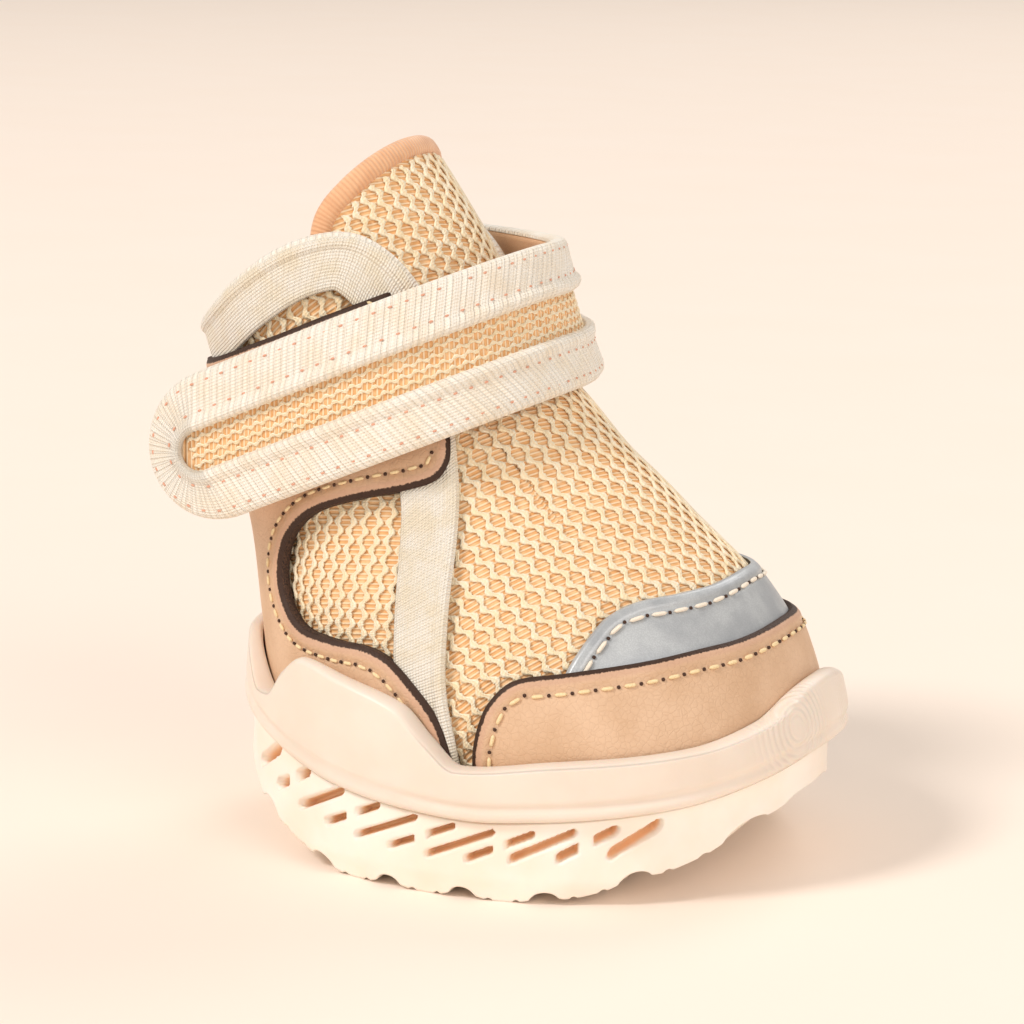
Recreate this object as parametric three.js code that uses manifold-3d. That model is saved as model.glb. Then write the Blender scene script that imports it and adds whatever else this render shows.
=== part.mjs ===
// Dog boot for one paw: a mesh upper and tongue in a rubber cup sole, closed by a strap that
// wraps from the left flap over the front to the right side.
// Millimetres. X points to the toe, Y to the boot's left, Z up. The origin is on the floor,
// under the middle of the sole.

import * as THREE from 'three';
import { mergeVertices } from 'three/addons/utils/BufferGeometryUtils.js';
import Module from 'manifold-3d';

const wasm = await Module();
wasm.setup();

// Clearance between pieces that meet
const FIT = 0.3;

// Upper
const FOOT_LENGTH = 60;
const BALL_WIDTH = 52;
const INSTEP_HEIGHT = 52;
const COLLAR_HEIGHT = 57;
const UPPER_WALL = 1.6;

// Pieces sewn on the upper
const TAPE_THICKNESS = 0.6;
const TAPE_WIDTH = 5.9;
const LEATHER_THICKNESS = 1.4;
const CAP_THICKNESS = 0.5;

// Tongue
const TONGUE_TOP = 78.4;
const TONGUE_THICKNESS = 1.6;
const TONGUE_BINDING = 2.3;

// Strap
const STRAP_WIDTH = 16.5;
const STRAP_THICKNESS = 1.2;
const STRAP_TILT = THREE.MathUtils.degToRad(23.5);
const STRAP_ROOT = 3;
const STRAP_TAIL = 21.2;
const STRAP_LIFT = 9.5;
const STRAP_CHANNEL = 4;
const STRAP_END_BAND = 4;
const STRAP_FLARE = -0.12;

// Sole
const SOLE_LENGTH = 69.4;
const SOLE_WIDTH = 62;
const SOLE_SQUARE = 2.08;
const STEP_HEIGHT = 9;
const HEEL_SPRING = 9.8;
const TOE_SPRING = 12.2;
const WAIST_HEIGHT = 14.7;
const WING_HEIGHT = 23.5;
const TAB_HEIGHT = 23;
const BUMPER_HEIGHT = 23.3;
const FOOTBED_THICKNESS = 2;
const INSOLE_THICKNESS = 1.5;
const LUG_PITCH = 8.8;
const LUG_SHIFT = 2.3;
const LUG_GROOVE = 3.2;
const LUG_DEPTH = 1.4;
const SLOT_COUNT = 11;
const SLOT_PITCH = 4.45;
const SLOT_LENGTH = 8;
const SLOT_GAUGE = 0.7;
const SLOT_DEPTH = 2.2;
const SLOT_BELOW_STEP = 0.9;
const SLOT_RISE = 3.4;
const SLOT_BREAK = 1.6;

// Measures that follow from the sizes above
const halfFoot = FOOT_LENGTH / 2;
const halfBall = BALL_WIDTH / 2;
const halfSole = SOLE_LENGTH / 2;
const tapeTop = FIT + TAPE_THICKNESS;
const leatherTop = FIT + LEATHER_THICKNESS;
const capTop = FIT + CAP_THICKNESS;
const tongueFace = -(UPPER_WALL + FIT);
const soleReach = 1.1 * halfSole;
const beyond = FOOT_LENGTH + SOLE_LENGTH;

// Steps along the curves
const ROUND_STEPS = 32;
const LAST_STEPS = 12;
const CURVE_STEPS = 2;
const SOLE_STEPS = 44;
const PROFILE_STEPS = 15;
const GROOVE_STEPS = 6;
const STRAP_STEPS = 18;
const END_STEPS = 6;

// Share of the last over which its slope is taken, and the share that counts as the same
const SLOPE_SPAN = 0.004;
const SAME_SHARE = 0.0005;

// Sharpest corner that a margin follows in full
const MITRE_LIMIT = 0.35;

// Sections of the last, from the sole up. Front and back are the ends of a section at the
// toe line and the heel line, as shares of half the foot length, the instep height and the
// collar height. Half is a share of half the ball width, square the power of the oval, and
// taper how much wider its front half is.
const lastSections = [
  { up: 0.0, frontX: 0.93, frontZ: 0.1, backX: -0.97, backZ: 0.09, half: 0.95, square: 2.2, taper: 0.02 },
  { up: 0.1, frontX: 0.97, frontZ: 0.21, backX: -0.985, backZ: 0.19, half: 0.97, square: 2.2, taper: 0.02 },
  { up: 0.18, frontX: 1.0, frontZ: 0.31, backX: -1.007, backZ: 0.265, half: 1.0, square: 2.15, taper: 0.02 },
  { up: 0.28, frontX: 0.945, frontZ: 0.452, backX: -1.02, backZ: 0.377, half: 0.98, square: 2.1, taper: -0.06 },
  { up: 0.38, frontX: 0.805, frontZ: 0.588, backX: -1.05, backZ: 0.49, half: 0.908, square: 2.05, taper: -0.14 },
  { up: 0.49, frontX: 0.55, frontZ: 0.727, backX: -1.095, backZ: 0.607, half: 0.808, square: 2, taper: -0.18 },
  { up: 0.6, frontX: 0.265, frontZ: 0.877, backX: -1.17, backZ: 0.726, half: 0.731, square: 2, taper: -0.16 },
  { up: 0.7, frontX: 0.035, frontZ: 1.004, backX: -1.24, backZ: 0.832, half: 0.692, square: 2, taper: -0.12 },
  { up: 0.79, frontX: -0.09, frontZ: 1.142, backX: -1.3, backZ: 0.904, half: 0.669, square: 2, taper: -0.1 },
  { up: 0.89, frontX: -0.235, frontZ: 1.302, backX: -1.36, backZ: 1.0, half: 0.654, square: 2, taper: -0.1 },
  { up: 1.0, frontX: -0.575, frontZ: 1.57, backX: -1.56, backZ: 1.45, half: 0.646, square: 2, taper: -0.1 },
];

// Side profile of the sole: places along it as shares of half its length, the lift of the
// tread at the heel and at the toe, and the step in its side as a share of the step height.
const soleStations = [
  { along: -1.0, heelLift: 1.0, toeLift: 0, step: 1.83 },
  { along: -0.8, heelLift: 0.63, toeLift: 0, step: 1.6 },
  { along: -0.55, heelLift: 0.23, toeLift: 0, step: 1.31 },
  { along: -0.37, heelLift: 0, toeLift: 0, step: 1.15 },
  { along: -0.12, heelLift: 0, toeLift: 0, step: 1.03 },
  { along: 0.12, heelLift: 0, toeLift: 0, step: 0.98 },
  { along: 0.28, heelLift: 0, toeLift: 0, step: 1.02 },
  { along: 0.5, heelLift: 0, toeLift: 0.14, step: 1.09 },
  { along: 0.72, heelLift: 0, toeLift: 0.37, step: 1.2 },
  { along: 0.88, heelLift: 0, toeLift: 0.65, step: 1.38 },
  { along: 1.0, heelLift: 0, toeLift: 1.0, step: 1.6 },
];

// Top edge of the cup wall from the heel tab over the wings and the waist to the bumper
const cupEdge = [
  { along: -1.1, top: TAB_HEIGHT },
  { along: -0.93, top: TAB_HEIGHT },
  { along: -0.86, top: TAB_HEIGHT * 0.92 },
  { along: -0.76, top: WING_HEIGHT * 0.77 },
  { along: -0.7, top: WING_HEIGHT * 0.78 },
  { along: -0.62, top: WING_HEIGHT * 0.92 },
  { along: -0.54, top: WING_HEIGHT },
  { along: -0.38, top: WING_HEIGHT * 0.96 },
  { along: -0.16, top: WING_HEIGHT * 0.88 },
  { along: -0.04, top: WAIST_HEIGHT * 1.17 },
  { along: 0.06, top: WAIST_HEIGHT },
  { along: 0.35, top: WAIST_HEIGHT * 1.08 },
  { along: 0.75, top: WAIST_HEIGHT * 1.17 },
  { along: 0.9, top: WAIST_HEIGHT * 1.29 },
  { along: 0.98, top: BUMPER_HEIGHT * 0.96 },
  { along: 1.1, top: BUMPER_HEIGHT },
];

// How far the sole's side stands back from its outline, from the floor up, as shares of the
// step height. Lean is how much more its toe end stands back.
const outsoleSide = [
  { height: -0.1, inset: 0.32, lean: 0.17 },
  { height: 0.11, inset: 0.25, lean: 0.17 },
  { height: 0.33, inset: 0.18, lean: 0.17 },
  { height: 0.9, inset: 0.13, lean: 0.17 },
  { height: 2.2, inset: 0.1, lean: 0.06 },
];
const cupSide = [
  { height: 0.8, inset: 0.056, lean: 0.1 },
  { height: 1.2, inset: 0.011, lean: 0.05 },
  { height: 1.7, inset: 0, lean: 0.01 },
  { height: 2.2, inset: 0.028, lean: 0.09 },
  { height: 2.6, inset: 0.06, lean: 0.24 },
  { height: 3.1, inset: 0.11, lean: 0.46 },
];

// Side views of the sewn pieces: [along, up] as shares of half the foot length and of the
// collar height, or of the instep height where the piece lies on the vamp.
const quarterFront = [
  [0.05, 0.16], [0.02, 0.27], [-0.03, 0.37], [-0.06, 0.49], [-0.1, 0.67], [-0.14, 0.765], [-0.235, 0.92],
];
const collarLine = [
  [-0.235, 0.92], [-0.32, 1.045], [-0.39, 1.115], [-0.49, 1.17], [-0.6, 1.2], [-0.72, 1.197],
  [-0.87, 1.165], [-1.04, 1.103], [-1.21, 1.03], [-1.36, 0.99], [-1.6, 0.97],
];
const counterFront = [
  [0.04, 0.2], [0.017, 0.247], [-0.037, 0.319], [-0.123, 0.374], [-0.237, 0.425], [-0.35, 0.446],
  [-0.49, 0.449], [-0.647, 0.46], [-0.737, 0.502], [-0.767, 0.56], [-0.733, 0.625], [-0.633, 0.677],
  [-0.47, 0.709], [-0.3, 0.73], [-0.207, 0.749], [-0.177, 0.782], [-0.19, 0.82],
];
const counterTop = [[-0.463, 1.096], [-0.68, 1.047], [-0.877, 1.002], [-1.19, 0.942], [-1.6, 0.9]];
const mudguardEdge = [
  [0.1, 0.2], [0.087, 0.288], [0.103, 0.36], [0.137, 0.41], [0.213, 0.45], [0.38, 0.465],
  [0.607, 0.483], [0.747, 0.498], [0.84, 0.507], [0.9, 0.525], [0.925, 0.56], [1.1, 0.76],
];
const capEdge = [
  [0.35, 0.41], [0.377, 0.475], [0.42, 0.533], [0.463, 0.572], [0.543, 0.596], [0.653, 0.605],
  [0.735, 0.615], [0.775, 0.64], [0.9, 0.76],
];
const capFoot = [[1.1, 0.6], [1.1, 0.5], [0.6, 0.44]];

// Edge of the tongue from its foot to its crown, up as a share of the tongue's top
const tongueEdge = [
  [-0.3, 0.45], [-0.5, 0.6], [-0.66, 0.74], [-0.745, 0.82], [-0.762, 0.875], [-0.745, 0.912],
  [-0.712, 0.942], [-0.665, 0.97], [-0.6, 0.992], [-0.52, 1], [-0.3, 1],
];

// The strap's middle beside the shaft, as shares of half the foot length and the collar height
const STRAP_HOME = [-0.623, 0.891];

// Curves through tables

function smooth(rows, knot, key, at) {
  const last = rows.length - 1;
  let i = 0;
  while (i < last - 1 && at > rows[i + 1][knot]) i += 1;
  const rise = (j) => (rows[j + 1][key] - rows[j][key]) / (rows[j + 1][knot] - rows[j][knot]);
  const slope = (j) => {
    if (j === 0) return rise(0);
    if (j === last) return rise(last - 1);
    const before = rise(j - 1);
    const after = rise(j);
    return before * after <= 0 ? 0 : (2 * before * after) / (before + after);
  };
  const span = rows[i + 1][knot] - rows[i][knot];
  const u = THREE.MathUtils.clamp((at - rows[i][knot]) / span, 0, 1);
  const [v, w] = [u * u, u * u * u];
  return rows[i][key] * (2 * w - 3 * v + 1) + span * slope(i) * (w - 2 * v + u)
    + rows[i + 1][key] * (3 * v - 2 * w) + span * slope(i + 1) * (w - v);
}

function curveThrough(pairs, alongUnit, upUnit) {
  const points = pairs.map(([along, up]) => new THREE.Vector2(along * alongUnit, up * upUnit));
  return new THREE.SplineCurve(points).getPoints((points.length - 1) * CURVE_STEPS);
}

// Moves each point of a line to its left by a distance
function shiftedLeft(points, distance) {
  return points.map((point, i) => {
    const before = points[Math.max(i - 1, 0)];
    const after = points[Math.min(i + 1, points.length - 1)];
    const run = after.clone().sub(before).normalize();
    return new THREE.Vector2(point.x - run.y * distance, point.y + run.x * distance);
  });
}

// Outline with each corner moved out by a margin, square to the two edges that meet there
function grown(points, margin) {
  const count = points.length;
  return points.map((point, i) => {
    const before = point.clone().sub(points[(i + count - 1) % count]).normalize();
    const after = points[(i + 1) % count].clone().sub(point).normalize();
    const run = before.clone().add(after).normalize();
    const reach = margin / Math.max(run.dot(after), MITRE_LIMIT);
    return new THREE.Vector2(point.x - run.y * reach, point.y + run.x * reach);
  });
}

// Closed solids

function asSolid(geometry) {
  const bare = geometry.clone();
  bare.deleteAttribute('normal');
  bare.deleteAttribute('uv');
  const merged = mergeVertices(bare);
  return new wasm.Manifold(new wasm.Mesh({
    numProp: 3,
    vertProperties: new Float32Array(merged.attributes.position.array),
    triVerts: new Uint32Array(merged.index.array),
  }));
}

// Skin over a row of closed rings, with its two ends closed round their middles
function loft(rings) {
  const count = rings[0].length;
  const middle = (ring) => ring.reduce((sum, p) => sum.add(p), new THREE.Vector3()).divideScalar(count);
  const points = [...rings.flat(), middle(rings[0]), middle(rings[rings.length - 1])];
  const triangles = [];
  const first = points.length - 2;
  for (let i = 0; i < count; i += 1) {
    const j = (i + 1) % count;
    for (let ring = 0; ring < rings.length - 1; ring += 1) {
      const low = ring * count;
      const high = low + count;
      triangles.push(low + i, low + j, high + j, low + i, high + j, high + i);
    }
    const top = (rings.length - 1) * count;
    triangles.push(first, j, i, first + 1, top + i, top + j);
  }
  return new wasm.Manifold(new wasm.Mesh({
    numProp: 3,
    vertProperties: new Float32Array(points.flatMap((p) => [p.x, p.y, p.z])),
    triVerts: new Uint32Array(triangles),
  }));
}

// A side view carried across the boot
function sideCut(points) {
  const plate = new THREE.ExtrudeGeometry(new THREE.Shape(points), { depth: 2 * beyond, bevelEnabled: false });
  return asSolid(plate.translate(0, 0, -beyond).rotateX(Math.PI / 2));
}

// The last

function sectionAt(up) {
  const read = (key) => smooth(lastSections, 'up', key, up);
  return {
    front: new THREE.Vector2(read('frontX') * halfFoot, read('frontZ') * INSTEP_HEIGHT),
    back: new THREE.Vector2(read('backX') * halfFoot, read('backZ') * COLLAR_HEIGHT),
    half: read('half') * halfBall,
    square: read('square'),
    taper: read('taper'),
  };
}

function signedPower(value, power) {
  return Math.sign(value) * Math.abs(value) ** power;
}

function lastSurface(up, angle) {
  const section = sectionAt(up);
  const forward = signedPower(Math.cos(angle), 2 / section.square);
  const sideways = signedPower(Math.sin(angle), 2 / section.square);
  const middle = section.back.clone().lerp(section.front, (1 + forward) / 2);
  return new THREE.Vector3(middle.x, sideways * section.half * (1 + section.taper * forward), middle.y);
}

// The point that lies a distance outside the last, along its normal
function lastPoint(up, angle, offset) {
  const [low, high] = [Math.max(up - SLOPE_SPAN, 0), Math.min(up + SLOPE_SPAN, 1)];
  const rise = lastSurface(high, angle).sub(lastSurface(low, angle));
  const round = lastSurface(up, angle + SLOPE_SPAN).sub(lastSurface(up, angle - SLOPE_SPAN));
  return lastSurface(up, angle).addScaledVector(round.cross(rise).normalize(), offset);
}

function lastSolid(offset) {
  const rings = [];
  for (let i = 0; i <= LAST_STEPS; i += 1) {
    const ring = [];
    for (let j = 0; j < ROUND_STEPS; j += 1) {
      ring.push(lastPoint(i / LAST_STEPS, (2 * Math.PI * j) / ROUND_STEPS, offset));
    }
    rings.push(ring);
  }
  return loft(rings);
}

// Half width of the last at a place in the side view
function halfWidthAt(x, z) {
  const leftOf = (up) => {
    const { front, back } = sectionAt(up);
    return (front.x - back.x) * (z - back.y) - (front.y - back.y) * (x - back.x);
  };
  let [low, high] = [0, 1];
  while (high - low > SAME_SHARE) {
    const middle = (low + high) / 2;
    if (leftOf(middle) > 0) low = middle;
    else high = middle;
  }
  const section = sectionAt(low);
  const along = (x - section.back.x) / (section.front.x - section.back.x);
  const forward = THREE.MathUtils.clamp(2 * along - 1, -1, 1);
  const round = (1 - Math.abs(forward) ** section.square) ** (1 / section.square);
  return round * section.half * (1 + section.taper * forward);
}

// The sole

function treadAt(x) {
  const along = x / halfSole;
  return smooth(soleStations, 'along', 'heelLift', along) * HEEL_SPRING
    + smooth(soleStations, 'along', 'toeLift', along) * TOE_SPRING;
}

function stepAt(x) {
  return smooth(soleStations, 'along', 'step', x / halfSole) * STEP_HEIGHT;
}

function footbedAt(x) {
  return stepAt(x) + FIT + FOOTBED_THICKNESS;
}

function cupEdgeAt(x) {
  return smooth(cupEdge, 'along', 'top', x / halfSole);
}

// Points of a height that varies along the sole, from heel to toe
function alongSole(heightAt, steps) {
  const points = [];
  for (let i = 0; i <= steps; i += 1) {
    const x = soleReach * ((2 * i) / steps - 1);
    points.push(new THREE.Vector2(x, heightAt(x)));
  }
  return points;
}

function between(lowAt, highAt, steps) {
  return sideCut([...alongSole(lowAt, steps), ...alongSole(highAt, steps).reverse()]);
}

// Oval body with the given side, its outline moved in by a depth
function soleBody(sideRows, depth) {
  return loft(sideRows.map(({ height, inset, lean }) => {
    const ring = [];
    for (let i = 0; i < SOLE_STEPS; i += 1) {
      const angle = (2 * Math.PI * i) / SOLE_STEPS;
      const back = inset + (Math.cos(angle) > 0 ? lean : 0);
      ring.push(new THREE.Vector3(
        (halfSole - back * STEP_HEIGHT - depth) * signedPower(Math.cos(angle), 2 / SOLE_SQUARE),
        (SOLE_WIDTH / 2 - inset * STEP_HEIGHT - depth) * signedPower(Math.sin(angle), 2 / SOLE_SQUARE),
        height * STEP_HEIGHT,
      ));
    }
    return ring;
  }));
}

// Round-bottomed channel across the tread
function lugGroove(x) {
  const floor = treadAt(x);
  const points = [];
  for (let i = 0; i <= GROOVE_STEPS; i += 1) {
    const angle = (Math.PI * i) / GROOVE_STEPS;
    points.push(new THREE.Vector2(
      x + (LUG_GROOVE / 2) * Math.cos(angle),
      floor + LUG_DEPTH * Math.sin(angle),
    ));
  }
  points.push(new THREE.Vector2(x - LUG_GROOVE, floor - LUG_GROOVE));
  points.push(new THREE.Vector2(x + LUG_GROOVE, floor - LUG_GROOVE));
  return sideCut(points);
}

// Slot that leans forward below the step; every second one has a rib across its middle
function sideSlot(index) {
  const place = (2 * index) / (SLOT_COUNT - 1) - 1;
  const x = (index - (SLOT_COUNT - 1) / 2) * SLOT_PITCH - SLOT_PITCH / 2;
  const length = SLOT_LENGTH * (1 - 0.4 * place * place);
  const gauge = SLOT_GAUGE * (1 + 0.9 * place * place);
  const top = stepAt(x) - SLOT_BELOW_STEP;
  const run = (from, to) => {
    const point = (share, lift) => new THREE.Vector2(
      x + length * (share - 0.5),
      top - SLOT_RISE * (1 - share) + lift,
    );
    return sideCut([point(from, -gauge / 2), point(to, -gauge / 2), point(to, gauge / 2), point(from, gauge / 2)]);
  };
  if (index % 2 === 0) return run(0, 1);
  const half = SLOT_BREAK / length / 2;
  return run(0, 0.5 - half).add(run(0.5 + half, 1));
}

function makeOutsole() {
  const side = soleBody(outsoleSide, 0);
  const core = soleBody(outsoleSide, SLOT_DEPTH);
  let slots = sideSlot(0);
  for (let i = 1; i < SLOT_COUNT; i += 1) slots = slots.add(sideSlot(i));
  let sole = side.intersect(between(treadAt, stepAt, PROFILE_STEPS)).subtract(slots.subtract(core));
  const rearmost = Math.ceil((-halfSole + LUG_GROOVE - LUG_SHIFT) / LUG_PITCH);
  const foremost = Math.floor((halfSole - LUG_GROOVE - LUG_SHIFT) / LUG_PITCH);
  for (let i = rearmost; i <= foremost; i += 1) sole = sole.subtract(lugGroove(LUG_SHIFT + i * LUG_PITCH));
  return sole;
}

function makeCup() {
  const wall = soleBody(cupSide, 0).intersect(between((x) => stepAt(x) + FIT, cupEdgeAt, 2 * PROFILE_STEPS));
  const hollow = lastSolid(leatherTop + FIT).intersect(aboveFootbed(0));
  return wall.subtract(hollow);
}

function aboveFootbed(clearance) {
  const floor = alongSole((x) => footbedAt(x) + clearance, PROFILE_STEPS);
  const heel = floor[0].y;
  const toe = floor[floor.length - 1].y;
  return sideCut([
    new THREE.Vector2(-beyond, beyond),
    new THREE.Vector2(-beyond, heel),
    ...floor,
    new THREE.Vector2(beyond, toe),
    new THREE.Vector2(beyond, beyond),
  ]);
}

function makeInsole() {
  const sheet = between((x) => footbedAt(x) + FIT, (x) => footbedAt(x) + FIT + INSOLE_THICKNESS, PROFILE_STEPS);
  return lastSolid(-(UPPER_WALL + FIT)).intersect(sheet);
}

// The upper and what is sewn on it

const frontEdge = curveThrough(quarterFront, halfFoot, COLLAR_HEIGHT);
const collarEdge = curveThrough(collarLine, halfFoot, COLLAR_HEIGHT);
const quarterEdge = [...frontEdge, ...collarEdge.slice(1)];
const throatCorner = collarEdge[0];

function layer(inner, outer) {
  return lastSolid(outer).subtract(lastSolid(inner)).intersect(aboveFootbed(FIT));
}

// Side view below the throat, which runs forward from the quarters' corner under the strap
function makeUpper() {
  const throatRise = Math.tan(STRAP_TILT) * beyond;
  const outline = [
    new THREE.Vector2(-beyond, 0),
    new THREE.Vector2(beyond, 0),
    new THREE.Vector2(throatCorner.x + beyond, throatCorner.y + throatRise),
    ...collarEdge,
    new THREE.Vector2(-beyond, collarEdge[collarEdge.length - 1].y),
  ];
  return layer(-UPPER_WALL, 0).intersect(sideCut(outline));
}

function tapeStrip(margin) {
  const inside = shiftedLeft(quarterEdge, TAPE_WIDTH + margin);
  return sideCut([...shiftedLeft(quarterEdge, -margin), ...inside.reverse()]);
}

function makeCollarTape() {
  return layer(FIT, tapeTop).intersect(tapeStrip(0));
}

function makeHeelCounter() {
  const outline = [
    ...curveThrough(counterFront, halfFoot, COLLAR_HEIGHT),
    ...curveThrough(counterTop, halfFoot, COLLAR_HEIGHT),
    new THREE.Vector2(-beyond, 0),
    new THREE.Vector2(counterFront[0][0] * halfFoot, 0),
  ];
  const underTape = layer(-FIT, tapeTop + FIT).intersect(tapeStrip(FIT));
  return layer(FIT, leatherTop).intersect(sideCut(outline)).subtract(underTape);
}

function capOutline(margin) {
  const edge = curveThrough(capEdge, halfFoot, INSTEP_HEIGHT);
  const foot = capFoot.map(([along, up]) => new THREE.Vector2(along * halfFoot, up * INSTEP_HEIGHT));
  return sideCut(grown([...edge, ...foot], margin));
}

function makeToeCap() {
  return layer(FIT, capTop).intersect(capOutline(0));
}

function makeMudguard() {
  const outline = [
    ...curveThrough(mudguardEdge, halfFoot, INSTEP_HEIGHT),
    new THREE.Vector2(beyond, 0),
    new THREE.Vector2(mudguardEdge[0][0] * halfFoot, 0),
  ];
  const underCap = layer(-FIT, capTop + FIT).intersect(capOutline(FIT));
  return layer(FIT, leatherTop).intersect(sideCut(outline)).subtract(underCap);
}

// The tongue, in front of its edge in the side view
function tongueArea(margin) {
  const edge = shiftedLeft(curveThrough(tongueEdge, halfFoot, TONGUE_TOP), -margin);
  return sideCut([
    ...edge,
    new THREE.Vector2(beyond, edge[edge.length - 1].y),
    new THREE.Vector2(beyond, edge[0].y),
  ]);
}

function aboveTongueFoot() {
  const rise = Math.tan(STRAP_TILT);
  const foot = throatCorner.y - STRAP_WIDTH / 2;
  return sideCut([
    new THREE.Vector2(throatCorner.x - beyond, foot - rise * beyond),
    new THREE.Vector2(throatCorner.x + beyond, foot + rise * beyond),
    new THREE.Vector2(throatCorner.x - beyond, foot + rise * beyond),
  ]);
}

function tongueSheet() {
  return layer(tongueFace - TONGUE_THICKNESS, tongueFace).intersect(aboveTongueFoot());
}

function makeTongue() {
  return tongueSheet().intersect(tongueArea(TONGUE_BINDING));
}

function makeTongueBinding() {
  return tongueSheet().intersect(tongueArea(0)).subtract(tongueArea(TONGUE_BINDING - FIT));
}

// The strap lies in a plane tilted back with the shaft, square to its axis

const strapHome = new THREE.Vector2(STRAP_HOME[0] * halfFoot, STRAP_HOME[1] * COLLAR_HEIGHT);
const strapAlong = new THREE.Vector2(Math.cos(STRAP_TILT), Math.sin(STRAP_TILT));
const strapUp = new THREE.Vector2(-strapAlong.y, strapAlong.x);

function strapPlace(along, up) {
  return strapHome.clone().addScaledVector(strapAlong, along).addScaledVector(strapUp, up);
}

// How far the last reaches forward from the strap's home, at the strap's lower edge
function frontReach() {
  let reach = 0;
  while (halfWidthAt(...strapPlace(reach, -STRAP_WIDTH / 2).toArray()) > FIT) reach += FIT;
  return reach;
}

function sideReach(up) {
  return halfWidthAt(...strapPlace(0, up).toArray()) + leatherTop + 3 * FIT;
}

const nearSide = (sideReach(-STRAP_WIDTH / 2) + sideReach(STRAP_WIDTH / 2)) / 2;
const farSide = sideReach(STRAP_LIFT);
const sideFlare = (sideReach(-STRAP_WIDTH / 2) - sideReach(STRAP_WIDTH / 2)) / STRAP_WIDTH;
const strapFront = frontReach() + 2 * FIT - (STRAP_FLARE * STRAP_WIDTH) / 2;

// Middle line of the strap in its plane: half an oval, then the tail along the right side
function strapRoute() {
  const first = Math.acos(STRAP_ROOT / strapFront);
  const points = [];
  for (let i = 0; i <= END_STEPS * 2; i += 1) {
    const angle = THREE.MathUtils.lerp(first, -Math.PI / 2, i / (END_STEPS * 2));
    const side = angle > 0 ? farSide : nearSide;
    points.push(new THREE.Vector3(strapFront * Math.cos(angle), side * Math.sin(angle), 0));
  }
  points.push(new THREE.Vector3(-STRAP_TAIL / 2, -nearSide - FIT, 0));
  points.push(new THREE.Vector3(-STRAP_TAIL, -nearSide - 4 * FIT, 0));
  return new THREE.CatmullRomCurve3(points);
}

const route = strapRoute();
const strapLength = route.getLength();

// A place on the strap: distance from its sewn end, distance up from its middle, height.
// On the left side it is lifted, more and more towards its sewn end, so that it runs level.
function strapPoint(distance, up, height) {
  const share = distance / strapLength;
  const place = route.getPointAt(share);
  const run = route.getTangentAt(share);
  const bend = THREE.MathUtils.clamp(place.x / strapFront, 0, 1);
  const flare = THREE.MathUtils.lerp(sideFlare, STRAP_FLARE, bend ** 4);
  const out = height - flare * up;
  const lift = place.y > 0 ? STRAP_LIFT * (1 - place.x / strapFront) : 0;
  const plane = strapPlace(place.x - run.y * out, up + lift);
  return new THREE.Vector3(plane.x, place.y + run.x * out, plane.y);
}

// Plate that follows the strap, with a round far end
function strapPlate(start, end, half, low, high) {
  const rings = [];
  for (let i = 0; i <= STRAP_STEPS; i += 1) {
    const straight = (i / STRAP_STEPS) * (end - half - start) + start;
    rings.push(plateRing(straight, half, low, high));
  }
  for (let i = 1; i <= END_STEPS; i += 1) {
    const angle = (Math.PI / 2) * (i / (END_STEPS + FIT));
    rings.push(plateRing(end - half + half * Math.sin(angle), half * Math.cos(angle), low, high));
  }
  return loft(rings);
}

function plateRing(distance, half, low, high) {
  const ring = [];
  for (const up of [-half, 0, half]) ring.push(strapPoint(distance, up, high));
  for (const up of [half, 0, -half]) ring.push(strapPoint(distance, up, low));
  return ring;
}

function makeStrap() {
  return strapPlate(0, strapLength, STRAP_WIDTH / 2, 0, STRAP_THICKNESS);
}

function makeStrapTape() {
  const low = STRAP_THICKNESS + FIT;
  const band = strapPlate(0, strapLength, STRAP_WIDTH / 2, low, low + TAPE_THICKNESS);
  const channel = strapPlate(
    STRAP_END_BAND, strapLength - STRAP_END_BAND, STRAP_CHANNEL / 2,
    low - FIT / 2, low + 2 * TAPE_THICKNESS,
  );
  return band.subtract(channel);
}

// Assembly

const finishes = {
  rubber: { color: 0xf3e2cd, roughness: 0.5, metalness: 0 },
  tread: { color: 0xfbeedb, roughness: 0.55, metalness: 0 },
  foam: { color: 0xf0c9a0, roughness: 0.9, metalness: 0 },
  mesh: { color: 0xf6d29a, roughness: 0.85, metalness: 0 },
  knit: { color: 0xf0bd8f, roughness: 0.9, metalness: 0 },
  tape: { color: 0xf7ebd8, roughness: 0.7, metalness: 0 },
  leather: { color: 0xd9b088, roughness: 0.6, metalness: 0 },
  reflective: { color: 0xb9bcbc, roughness: 0.4, metalness: 0.2 },
};

function piece(name, solid, finish) {
  const { vertProperties, triVerts } = solid.getMesh();
  const geometry = new THREE.BufferGeometry();
  geometry.setAttribute('position', new THREE.BufferAttribute(vertProperties, 3));
  geometry.setIndex(new THREE.BufferAttribute(triVerts, 1));
  const mesh = new THREE.Mesh(geometry, new THREE.MeshStandardMaterial(finishes[finish]));
  mesh.name = name;
  return mesh;
}

const boot = new THREE.Group();
boot.name = 'dog_boot';
boot.add(
  piece('outsole', makeOutsole(), 'tread'),
  piece('midsole_cup', makeCup(), 'rubber'),
  piece('insole', makeInsole(), 'foam'),
  piece('upper', makeUpper(), 'mesh'),
  piece('tongue', makeTongue(), 'mesh'),
  piece('tongue_binding', makeTongueBinding(), 'knit'),
  piece('collar_tape', makeCollarTape(), 'tape'),
  piece('heel_counter', makeHeelCounter(), 'leather'),
  piece('toe_cap', makeToeCap(), 'reflective'),
  piece('mudguard', makeMudguard(), 'leather'),
  piece('strap', makeStrap(), 'mesh'),
  piece('strap_tape', makeStrapTape(), 'tape'),
);

export default boot;
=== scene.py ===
"""Dog boot on a pale floor: every cloth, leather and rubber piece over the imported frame.

Lengths are worked out in millimetres in the row's frame (X to the toe, Y to the boot's left,
Z up) and turned into metres when a mesh is made.
"""

import math

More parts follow.
